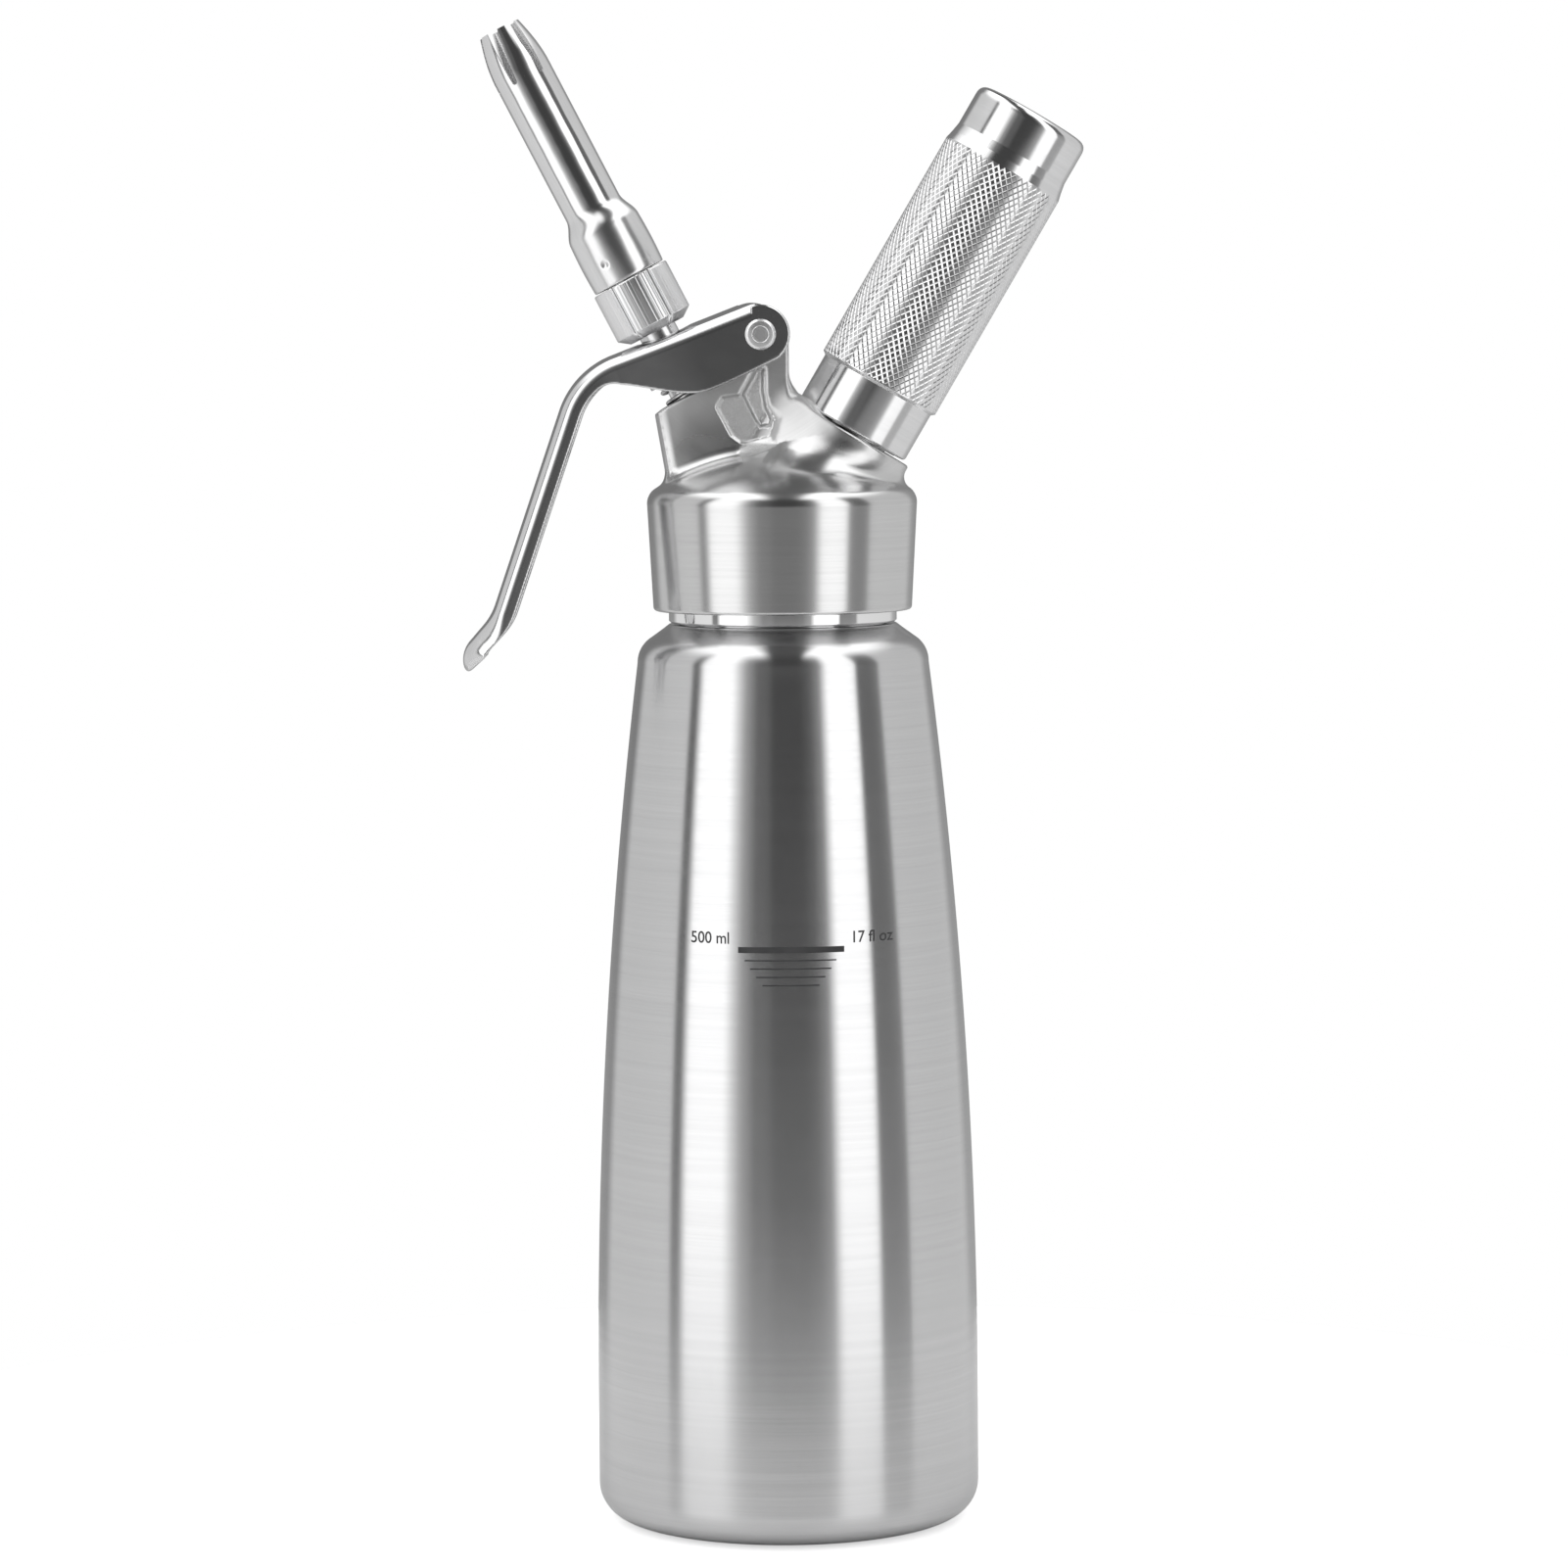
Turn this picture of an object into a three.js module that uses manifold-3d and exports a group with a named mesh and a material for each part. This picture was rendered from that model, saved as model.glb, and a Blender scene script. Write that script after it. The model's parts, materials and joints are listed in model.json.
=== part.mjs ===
// Whipped cream dispenser: a drawn steel bottle, a screwed head with a squeeze lever and its valve,
// a decorator nozzle on a fluted adapter, and a knurled holder for the gas charger.
// Millimetres, +Z up. The origin is the middle of the bottle's flat foot, +X points to the charger side.
// The valve pieces are drawn along +Z of a frame that leans to -X, with its zero at the tower's top.
// The gas pieces are drawn along +Z of a frame that leans to +X, with its zero at the holder's lower rim.
import * as THREE from "three";
import { mergeVertices } from "three/addons/utils/BufferGeometryUtils.js";
import Module from "manifold-3d";

const wasm = await Module();
wasm.setup();

// Facets and steps of the round forms
const wideFacets = 40;
const midFacets = 24;
const smallFacets = 16;
const cornerSteps = 4;
const taperSteps = 7;
const innerTaperSteps = 4;
const bendSteps = 3;
const crownSteps = 6;
const fineFacets = 6;
const hexagonSides = 6;

// Clearances that several pieces share
const seatGap = 0.3;
const slideGap = 0.3;
const overrun = 2;
const mergeDistance = 0.0005;

// Bottle
const bodyRadius = 39.2;
const footCornerRadius = 7;
const taperStart = 25;
const shoulderHeight = 176.4;
const shoulderRadius = 29.8;
const shoulderCornerRadius = 6;
const neckFootRise = 7.9;
const neckLength = 16.2;
const neckRadius = 21;
const bottleWall = 1.2;
const footWall = 1.6;

// Neck ring
const neckRingRadius = 23.3;
const neckRingChamfer = 0.4;
const neckRingTopStep = 0.5;

// Head: collar, dome and the hollow under it
const collarOverlap = 13.5;
const collarLength = 23.4;
const collarFootRadius = 26.4;
const collarTopRadius = 27.65;
const collarFootChamfer = 0.5;
const collarTopFillet = 1.5;
const domeSphereRadius = 46;
const domeRise = 9.5;
const threadClearance = 0.4;
const gasketThickness = 1.7;
const hollowRadius = 18.5;
const hollowDepth = 23.5;

// Valve axis, tower and pivot ear
const valveLean = THREE.MathUtils.degToRad(27.3);
const valveRootRise = 8.3;
const towerReach = 40.45;
const towerThickness = 14.4;
const towerFront = 7.24;
const towerFrontLean = THREE.MathUtils.degToRad(9.7);
const towerFrontCrown = 1.4;
const towerFrontDrop = 1.1;
const towerChamferLength = 2.6;
const towerBack = 7.4;
const towerFootOverHollow = 0.6;
const pivotArm = 18.3;
const pivotRise = 4;
const earRadius = 4.1;
const earFrontAngle = THREE.MathUtils.degToRad(169);
const earBackAngle = THREE.MathUtils.degToRad(36);
const earBack = 5.72;
const earBackTop = 1.7;

// Pockets on both flanks of the tower, placed from the pivot
const pocketWidth = 13.3;
const pocketHeight = 16;
const pocketFrontReach = 9.33;
const pocketDrop = 22.2;
const padDepth = 0.7;
const pocketDepth = 1.8;
const padShares = [
  [0.105, 0.605],
  [0, 0.47],
  [0.235, 0.1],
  [0.39, 0],
  [0.906, 0.04],
  [1, 0.33],
  [0.836, 0.49],
  [0.793, 0.666],
  [0.793, 0.97],
  [0.598, 0.9],
  [0.352, 0.628],
];
const pocketShares = [
  [0.6, 1],
  [0.352, 0.628],
  [0.624, 0.156],
  [0.908, 0.124],
  [1, 0.33],
  [0.836, 0.49],
  [0.793, 0.666],
  [0.795, 1],
];

// Charger axis and boss
const chargerLean = THREE.MathUtils.degToRad(30.43);
const chargerRootRise = 12.1;
const holderReach = 28.25;
const bossRadius = 13.7;
const bossGap = 0.5;
const bossEdge = 0.5;
const bossLength = 16;
const bossFillet = 2.2;
const webFillet = 1.3;
const bossFilletSteps = 3;

// Valve stem with its seals
const stemRadius = 4;
const stemBoreRadius = 2.2;
const stemTop = 23;
const valveSeatRise = 16.45;
const valvePocketRadius = 7;
const valvePocketLength = 21;
const portRise = 4;
const portRadius = 1.1;
const stemSpigotRadius = 2;
const stemSpigotEnd = 1;
const stemBoreFloor = 2;
const ringSection = 0.45;
const ringHeight = -8;
const ringGrooveDepth = 1.1;
const ringGrooveLength = 1.8;
const valveSealRadius = 5.9;
const valveSealThickness = 2;
const retainerRadius = 5.2;
const retainerThickness = 3;

// Spring and the cap that the lever pushes
const capRadius = 6.8;
const capWall = 1;
const capSkirtHeight = 4;
const capRimHeight = 9.2;
const capCrownHeight = 10.9;
const springWire = 0.45;
const springRadius = 4.95;
const springSeatDepth = 3;
const springTurns = 5;
const springEndPitch = 1.36;
const springSteps = 12;
const springSides = 5;
const springMinGap = 0.4;

// Nozzle adapter and its seal
const adapterFoot = 14.4;
const adapterShoulder = 16;
const adapterTop = 26.3;
const adapterRadius = 8.25;
const adapterFootRadius = 6;
const adapterEdge = 0.5;
const fluteRadius = 0.62;
const fluteCount = 6;
const fluteAngle = THREE.MathUtils.degToRad(30);
const adapterSealThickness = 1;
const adapterSealBore = 2.4;
const spigotRadius = 5.2;
const spigotLength = 7.4;
const spigotBoreRadius = 3;

// Decorator nozzle
const nozzleWideRadius = 7.75;
const nozzleTubeRadius = 6.05;
const nozzleMouthRadius = 4.4;
const nozzleSheet = 0.55;
const nozzleWideLength = 10.8;
const insertLength = 9.2;
const nozzleFlareLength = 5.3;
const nozzleTubeLength = 31;
const nozzleTaperLength = 9.5;
const nozzleFlareSteps = 5;
const nozzleTaperSteps = 3;
const nozzleTaperBow = 0.25;
const petalCount = 6;
const petalTurn = THREE.MathUtils.degToRad(-20);
const slotLength = 11.7;
const slotRootWidth = 1.1;
const slotMouthWidth = 2.8;

// Lever
const sheet = 1.4;
const leverHalfWidth = 9;
const handleHalfWidth = 8.2;
const tipHalfWidth = 4.6;
const leverCrown = 1;
const leverBend = 2.6;
const plateHeight = 7.2;
const plateSlope = THREE.MathUtils.degToRad(21.2);
const plateBackLength = 9;
const plateFrontLength = 29.9;
const elbowRadius = 18.3;
const elbowTurn = THREE.MathUtils.degToRad(49.9);
const handleLength = 41.6;
const flareRadius = 13;
const flareTurn = THREE.MathUtils.degToRad(22);
const flareLength = 4.2;
const curlRadius = 6;
const curlTurn = THREE.MathUtils.degToRad(70);
const sideDepth = 14;
const handleDepth = 4.73;
const tipDepth = 4.1;
const sideNarrowStart = 13;
const sideNarrowEnd = 36;
const tipNarrowLength = 9;
const leverEndRadius = 6;
const leverEndTangent = THREE.MathUtils.degToRad(26);
const plateEnd = 0.7;
const slotSlack = 0.5;
const slotTravel = 1.9;
const sharpBendShare = 0.35;

// Pivot screw and the sleeve that it screws into
const pivotHoleRadius = 2.6;
const sleeveRadius = 2.3;
const pivotHeadRadius = 3.1;
const pivotHeadThickness = 1;
const pivotHeadChamfer = 0.2;
const screwShankRadius = 1.3;
const screwShankLength = 12.5;
const screwSocketRadius = 1.25;
const screwSocketDepth = 0.6;

// Charger post, needle and seal
const postRadius = 10.1;
const postHeight = 9;
const postSpigotRadius = 8;
const postSpigotLength = 7.6;
const postEdge = 0.6;
const postCupRadius = 5;
const postCupFloor = 2.2;
const needleBodyRadius = 2.2;
const needlePointRadius = 1;
const needleTipRadius = 0.75;
const needleTipHeight = 5.2;
const needleBoreRadius = 0.45;
const chargerSealThickness = 0.9;
const chargerSealRadius = 4.6;
const gasPassageRadius = 1;

// Check valve
const checkBoreRadius = 4.4;
const checkBoreTop = -11;
const checkBoreEnd = -26;
const checkDiscRadius = 3.7;
const checkDiscThickness = 1.2;
const checkNutLength = 4.6;
const checkNutBore = 1.2;
const checkHexRadius = 2.2;
const checkHexDepth = 2;

// Gas charger
const chargerRadius = 9;
const chargerLength = 65.5;
const chargerNeckRadius = 4.4;
const chargerNeckLength = 7.2;
const chargerShoulderLength = 6.6;
const chargerWall = 1.4;
const chargerMouthRadius = 1.3;
const chargerMouthWall = 1;
const chargerEndRadius = 7.5;

// Charger holder
const holderLength = 74;
const holderPlainRadius = 12.4;
const holderKnurlRadius = 13.15;
const holderKnurlStart = 10.7;
const holderKnurlEnd = 61.2;
const holderConeEnd = 64.9;
const holderEndFillet = 2.2;
const holderRimFillet = 0.8;
const holderKnurlChamfer = 0.5;
const holderThreadDepth = 9.6;
const holderBoreGap = 0.4;

// Colours and how rough each finish is
const steelColour = 0xb9b9b9;
const steelRoughness = 0.34;
const polishedColour = 0xd6d6d6;
const polishedRoughness = 0.12;
const springColour = 0x9a9a9a;
const rubberColour = 0x3c3c3c;
const rubberRoughness = 0.7;
const siliconeColour = 0xa8483f;
const plasticColour = 0xe6e2d8;
const plasticRoughness = 0.5;

// Places that follow from the sizes
const neckFootHeight = shoulderHeight + neckFootRise;
const rimHeight = neckFootHeight + neckLength;
const collarFootHeight = rimHeight - collarOverlap;
const collarTopHeight = collarFootHeight + collarLength;
const domeApexHeight = collarTopHeight + domeRise;
const hollowCeiling = collarFootHeight + hollowDepth;
const valveRootHeight = collarFootHeight + valveRootRise;
const chargerRootHeight = collarFootHeight + chargerRootRise;
const valveSeat = valveSeatRise - towerReach;
const portHeight = valveSeat + portRise;
const valveDirection = new THREE.Vector3(-Math.sin(valveLean), 0, Math.cos(valveLean));
const valveSideways = new THREE.Vector3(Math.cos(valveLean), 0, Math.sin(valveLean));
const towerTop = new THREE.Vector3(0, 0, valveRootHeight).addScaledVector(valveDirection, towerReach);
const valveFrame = new THREE.Matrix4().makeRotationY(-valveLean).setPosition(towerTop);
const pivotPlace = towerTop
  .clone()
  .addScaledVector(valveSideways, pivotArm)
  .addScaledVector(valveDirection, pivotRise);
const chargerDirection = new THREE.Vector3(Math.sin(chargerLean), 0, Math.cos(chargerLean));
const chargerSideways = new THREE.Vector3(Math.cos(chargerLean), 0, -Math.sin(chargerLean));
const holderFoot = new THREE.Vector3(0, 0, chargerRootHeight).addScaledVector(chargerDirection, holderReach);
const chargerFrame = new THREE.Matrix4().makeRotationY(chargerLean).setPosition(holderFoot);
const domeCentreHeight = domeApexHeight - domeSphereRadius;
const collarBoreRadius = neckRingRadius + threadClearance;
const gasketFoot = rimHeight + seatGap;
const gasketSeatHeight = gasketFoot + gasketThickness + seatGap;
const stemBore = stemRadius + slideGap;
const adapterBore = stemRadius + slideGap;
const springSeat = -springSeatDepth;
const capCeiling = capRimHeight - capWall;
const springSeatRadius = springRadius + springWire + slideGap;
const chargerFoot = postCupFloor + 2 * seatGap + chargerSealThickness;

// A closed geometry as a solid with its faces out, without the sides that shrink to nothing on an axis.
function solidFrom(geometry) {
  const bare = new THREE.BufferGeometry();
  bare.setAttribute("position", geometry.getAttribute("position"));
  if (geometry.index) {
    bare.setIndex(geometry.index);
  }
  const merged = mergeVertices(bare, mergeDistance);
  const index = merged.index.array;
  const corners = [];
  for (let i = 0; i < index.length; i += 3) {
    const [a, b, c] = [index[i], index[i + 1], index[i + 2]];
    if (a !== b && b !== c && c !== a) {
      corners.push(a, b, c);
    }
  }
  const vertProperties = new Float32Array(merged.getAttribute("position").array);
  const make = (order) => new wasm.Manifold(
    new wasm.Mesh({ numProp: 3, vertProperties, triVerts: new Uint32Array(order) }),
  );
  const solid = make(corners);
  return solid.volume() < 0 ? make([...corners].reverse()) : solid;
}

function asSolid(form) {
  return form instanceof THREE.BufferGeometry ? solidFrom(form) : form;
}

function unite(...forms) {
  return forms.map(asSolid).reduce((whole, next) => whole.add(next));
}

function carve(form, ...cutters) {
  return cutters.map(asSolid).reduce((left, cutter) => left.subtract(cutter), asSolid(form));
}

function common(form, other) {
  return asSolid(form).intersect(asSolid(other));
}

// A named mesh from a solid or a closed geometry.
function piece(name, form, material) {
  const result = asSolid(form).getMesh();
  const geometry = new THREE.BufferGeometry();
  geometry.setAttribute("position", new THREE.BufferAttribute(new Float32Array(result.vertProperties), 3));
  geometry.setIndex(new THREE.BufferAttribute(new Uint32Array(result.triVerts), 1));
  geometry.computeVertexNormals();
  const mesh = new THREE.Mesh(geometry, material);
  mesh.name = name;
  return mesh;
}

function finish(color, roughness, metalness) {
  return new THREE.MeshStandardMaterial({ color, roughness, metalness });
}

// A revolve about Z of an outline of [radius, height] points, which starts and ends on the axis.
function revolve(outline, facets) {
  const points = outline.map(([radius, height]) => new THREE.Vector2(radius, height));
  return new THREE.LatheGeometry(points, facets).rotateX(Math.PI / 2);
}

// A revolve of an outline that stays clear of the axis, closed on itself.
function revolveRing(outline, facets) {
  return revolve([...outline, outline[0]], facets);
}

// A straight rod along Z between two heights.
function rod(radius, from, to, facets = smallFacets) {
  const length = to - from;
  return new THREE.CylinderGeometry(radius, radius, length, facets)
    .rotateX(Math.PI / 2)
    .translate(0, 0, from + length / 2);
}

// A slab with an outline in X and Z, centred on Y = 0, with its curves in a number of steps.
function slab(shape, thickness, curveSegments = cornerSteps) {
  return new THREE.ExtrudeGeometry(shape, { depth: thickness, bevelEnabled: false, curveSegments })
    .rotateX(Math.PI / 2)
    .translate(0, thickness / 2, 0);
}

// Points of an arc in a radius and height outline, from one angle to another.
function arc(centreRadius, centreHeight, radius, from, to, steps) {
  return Array.from({ length: steps + 1 }, (_, i) => {
    const angle = from + ((to - from) * i) / steps;
    return [centreRadius + radius * Math.cos(angle), centreHeight + radius * Math.sin(angle)];
  });
}

// Point of the valve's frame in the object's X and Z.
function valvePoint(sideways, along) {
  const place = towerTop
    .clone()
    .addScaledVector(valveSideways, sideways)
    .addScaledVector(valveDirection, along);
  return [place.x, place.z];
}

// Point of the charger's frame in the object's X and Z.
function chargerPoint(sideways, along) {
  const place = holderFoot
    .clone()
    .addScaledVector(chargerSideways, sideways)
    .addScaledVector(chargerDirection, along);
  return [place.x, place.z];
}

// The bottle's outer radius at a height: straight at the foot, then narrowing like a parabola.
function bodyRadiusAt(height) {
  const share = Math.max(0, (height - taperStart) / (shoulderHeight - taperStart));
  return bodyRadius - (bodyRadius - shoulderRadius) * share * share;
}

// The taper's outline between its start and the shoulder, set in by a wall.
function taperPoints(wall, steps) {
  return Array.from({ length: steps + 1 }, (_, i) => {
    const height = taperStart + ((shoulderHeight - taperStart) * i) / steps;
    return [bodyRadiusAt(height) - wall, height];
  });
}

function bottleForm() {
  const shoulderCentre = shoulderRadius - shoulderCornerRadius;
  const innerFootCorner = footCornerRadius - bottleWall;
  const innerShoulderCorner = shoulderCornerRadius - bottleWall;
  const neckFillet = neckFootHeight - shoulderHeight - shoulderCornerRadius;
  const outer = [
    [0, 0],
    ...arc(bodyRadius - footCornerRadius, footCornerRadius, footCornerRadius, -Math.PI / 2, 0, cornerSteps),
    ...taperPoints(0, taperSteps),
    ...arc(shoulderCentre, shoulderHeight, shoulderCornerRadius, 0, Math.PI / 2, cornerSteps).slice(1),
    [neckRadius + neckFillet / 2, shoulderHeight + shoulderCornerRadius + neckFillet / 4],
    [neckRadius, neckFootHeight],
    [neckRadius, rimHeight],
  ];
  const inner = [
    [neckRadius - bottleWall, rimHeight],
    [neckRadius - bottleWall, shoulderHeight + shoulderCornerRadius],
    ...arc(shoulderCentre, shoulderHeight, innerShoulderCorner, Math.PI / 2, 0, cornerSteps),
    ...taperPoints(bottleWall, innerTaperSteps).reverse().slice(1),
    ...arc(
      bodyRadius - footCornerRadius,
      footWall + innerFootCorner,
      innerFootCorner,
      0,
      -Math.PI / 2,
      cornerSteps,
    ),
    [0, footWall],
  ];
  return revolve([...outer, ...inner], wideFacets);
}

function neckRingForm() {
  const inside = neckRadius + seatGap;
  const foot = neckFootHeight + seatGap;
  const top = rimHeight - neckRingTopStep;
  return revolveRing(
    [
      [inside, foot],
      [neckRingRadius - neckRingChamfer, foot],
      [neckRingRadius, foot + neckRingChamfer],
      [neckRingRadius, top - neckRingChamfer],
      [neckRingRadius - neckRingChamfer, top],
      [inside, top],
    ],
    wideFacets,
  );
}

function headGasketForm() {
  const inside = neckRadius - bottleWall;
  const outside = collarBoreRadius - seatGap;
  return revolveRing(
    [
      [inside, gasketFoot],
      [outside, gasketFoot],
      [outside, gasketFoot + gasketThickness],
      [inside, gasketFoot + gasketThickness],
    ],
    wideFacets,
  );
}

function collarAndDome() {
  const domeRim = collarTopRadius - collarTopFillet;
  const rimAngle = Math.acos(domeRim / domeSphereRadius);
  const fillet = arc(
    domeRim,
    collarTopHeight - collarTopFillet,
    collarTopFillet,
    0,
    Math.PI / 2,
    bendSteps,
  );
  const dome = arc(0, domeCentreHeight, domeSphereRadius, rimAngle, Math.PI / 2, crownSteps);
  return revolve(
    [
      [0, collarFootHeight],
      [collarFootRadius - collarFootChamfer, collarFootHeight],
      [collarFootRadius, collarFootHeight + collarFootChamfer],
      ...fillet,
      ...dome.slice(0, -1),
      [0, domeApexHeight],
    ],
    wideFacets,
  );
}

// The tower, its pivot ear and the web to the boss, as one outline in X and Z with a crowned front.
function tower() {
  const foot = hollowCeiling + towerFootOverHollow;
  const [frontX, frontZ] = valvePoint(-towerFront, -towerFrontDrop);
  const footX = frontX + (frontZ - foot) * Math.tan(towerFrontLean);
  const backX = pivotPlace.x + earBack;
  const bossRimZ = chargerPoint(-bossRadius, -bossGap)[1];
  const outline = new THREE.Shape();
  outline.moveTo(footX - towerFrontCrown, foot);
  outline.lineTo(frontX - towerFrontCrown, frontZ);
  outline.lineTo(frontX, frontZ + towerFrontDrop);
  outline.lineTo(...valvePoint(-towerFront + towerChamferLength, 0));
  outline.lineTo(...valvePoint(towerBack, 0));
  outline.absarc(pivotPlace.x, pivotPlace.z, earRadius, earFrontAngle, earBackAngle, true);
  outline.lineTo(backX, pivotPlace.z - earBackTop);
  outline.lineTo(backX, bossRimZ + webFillet);
  outline.quadraticCurveTo(backX, bossRimZ, ...chargerPoint(webFillet - bossRadius, -bossGap));
  outline.lineTo(...chargerPoint(-postRadius, -bossGap));
  outline.lineTo(holderFoot.x, foot);
  outline.closePath();
  return common(slab(outline, towerThickness), towerPlan(frontX, frontZ));
}

// The tower seen along its front face: square at the back, with a bow of the crown's height in front.
function towerPlan(frontX, frontZ) {
  const half = towerThickness / 2;
  const bowRadius = (half ** 2 + towerFrontCrown ** 2) / (2 * towerFrontCrown);
  const bowAngle = Math.asin(half / bowRadius);
  const depth = domeApexHeight;
  const plan = new THREE.Shape();
  plan.moveTo(bodyRadius, half + overrun);
  plan.lineTo(0, half + overrun);
  plan.lineTo(0, half);
  plan.absarc(bowRadius - towerFrontCrown, 0, bowRadius, Math.PI - bowAngle, Math.PI + bowAngle, false);
  plan.lineTo(0, -half - overrun);
  plan.lineTo(bodyRadius, -half - overrun);
  plan.closePath();
  return new THREE.ExtrudeGeometry(plan, { depth, bevelEnabled: false, curveSegments: crownSteps })
    .translate(0, 0, -depth / 2)
    .rotateY(-towerFrontLean)
    .translate(frontX, 0, frontZ);
}

function boss() {
  const top = -bossGap;
  return revolve(
    [
      [0, top - bossLength],
      [bossRadius, top - bossLength],
      [bossRadius, top - bossEdge],
      [bossRadius - bossEdge, top],
      [0, top],
    ],
    wideFacets,
  ).applyMatrix4(chargerFrame);
}

// Where a straight line of the boss's flank, at an angle round it, meets the dome's sphere.
function bossFootPoint(outward) {
  const start = holderFoot.clone().addScaledVector(outward, bossRadius);
  const fromCentre = start.clone().sub(new THREE.Vector3(0, 0, domeCentreHeight));
  const slope = fromCentre.dot(chargerDirection);
  const reach = Math.sqrt(slope ** 2 - fromCentre.lengthSq() + domeSphereRadius ** 2);
  return start.addScaledVector(chargerDirection, reach - slope);
}

// The hollow fillet between the boss and the dome: a ring whose section follows the seam.
function bossFilletRing() {
  const centre = new THREE.Vector3(0, 0, domeCentreHeight);
  const across = new THREE.Vector3(0, 1, 0);
  const rings = [];
  for (let i = 0; i < wideFacets; i += 1) {
    const angle = (2 * Math.PI * i) / wideFacets;
    const outward = chargerSideways
      .clone()
      .multiplyScalar(Math.cos(angle))
      .addScaledVector(across, Math.sin(angle));
    const seam = bossFootPoint(outward);
    const normal = seam.clone().sub(centre).normalize();
    const along = outward.clone().addScaledVector(normal, -outward.dot(normal)).normalize();
    const upper = seam.clone().addScaledVector(chargerDirection, bossFillet);
    const lower = seam.clone().addScaledVector(along, bossFillet).sub(centre);
    lower.setLength(domeSphereRadius).add(centre);
    const curve = new THREE.QuadraticBezierCurve3(upper, seam, lower);
    const inner = seam
      .clone()
      .addScaledVector(outward, -bossFillet / 2)
      .addScaledVector(normal, -bossFillet / 2);
    rings.push([...curve.getPoints(bossFilletSteps), inner]);
  }
  return loopOfRings(rings);
}

// A closed loop of closed sections, such as a ring round a boss.
function loopOfRings(rings) {
  const sides = rings[0].length;
  const positions = rings.flat().flatMap((point) => point.toArray());
  const index = [];
  rings.forEach((ring, i) => {
    const next = (i + 1) % rings.length;
    for (let j = 0; j < sides; j += 1) {
      const k = (j + 1) % sides;
      index.push(i * sides + j, i * sides + k, next * sides + j);
      index.push(i * sides + k, next * sides + k, next * sides + j);
    }
  });
  return meshGeometry(positions, index);
}

function meshGeometry(positions, index) {
  const geometry = new THREE.BufferGeometry();
  geometry.setAttribute("position", new THREE.Float32BufferAttribute(positions, 3));
  geometry.setIndex(index);
  return geometry;
}

// A row of closed sections of equal count, joined one to the next and closed by a cap at each end.
function loft(sections, capOutlines) {
  const sides = sections[0].length;
  const positions = sections.flat().flatMap((point) => point.toArray());
  const index = [];
  for (let i = 0; i < sections.length - 1; i += 1) {
    for (let j = 0; j < sides; j += 1) {
      const k = (j + 1) % sides;
      const low = i * sides;
      const high = low + sides;
      index.push(low + j, low + k, high + j);
      index.push(low + k, high + k, high + j);
    }
  }
  const last = (sections.length - 1) * sides;
  capFaces(capOutlines[0]).forEach(([a, b, c]) => index.push(c, b, a));
  capFaces(capOutlines[1]).forEach(([a, b, c]) => index.push(last + a, last + b, last + c));
  return meshGeometry(positions, index);
}

// Triangles that fill an outline, each running round the way the outline does.
function capFaces(outline) {
  const way = Math.sign(THREE.ShapeUtils.area(outline));
  return THREE.ShapeUtils.triangulateShape(outline, []).map(([a, b, c]) => {
    const same = Math.sign(THREE.ShapeUtils.area([outline[a], outline[b], outline[c]])) === way;
    return same ? [a, b, c] : [a, c, b];
  });
}

// A pocket outline from its table of shares, sunk into one flank of the tower.
function flankPocket(shares, depth, side) {
  const left = pivotPlace.x - pocketFrontReach;
  const low = pivotPlace.z - pocketDrop;
  const points = shares.map(
    ([across, up]) => new THREE.Vector2(left + across * pocketWidth, low + up * pocketHeight),
  );
  const thickness = depth + overrun;
  const middle = side * (towerThickness / 2 - depth + thickness / 2);
  return slab(new THREE.Shape(points), thickness).translate(0, middle, 0);
}

function headHollow() {
  return revolve(
    [
      [0, collarFootHeight - overrun],
      [collarBoreRadius, collarFootHeight - overrun],
      [collarBoreRadius, gasketSeatHeight],
      [hollowRadius, gasketSeatHeight],
      [hollowRadius, hollowCeiling],
      [0, hollowCeiling],
    ],
    wideFacets,
  );
}

function pivotHole(radius, length) {
  return rod(radius, -length / 2, length / 2).rotateX(Math.PI / 2).translate(pivotPlace.x, 0, pivotPlace.z);
}

function headBodyForm() {
  const outside = unite(collarAndDome(), tower(), boss(), bossFilletRing());
  const valveBores = [
    rod(stemBore, valveSeat - overrun, overrun),
    rod(springSeatRadius, springSeat, overrun, midFacets),
    rod(valvePocketRadius, valveSeat - valvePocketLength, valveSeat, midFacets),
  ].map((bore) => bore.applyMatrix4(valveFrame));
  const gasBores = [
    rod(postSpigotRadius + slideGap, -postSpigotLength - seatGap, 0, midFacets),
    rod(gasPassageRadius, checkBoreTop - overrun, 0),
    rod(checkBoreRadius, checkBoreEnd, checkBoreTop),
  ].map((bore) => bore.applyMatrix4(chargerFrame));
  const flanks = [-1, 1].flatMap((side) => [
    flankPocket(padShares, padDepth, side),
    flankPocket(pocketShares, pocketDepth, side),
  ]);
  return carve(
    outside,
    headHollow(),
    ...valveBores,
    ...gasBores,
    ...flanks,
    pivotHole(pivotHoleRadius, towerThickness + overrun),
  );
}

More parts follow.
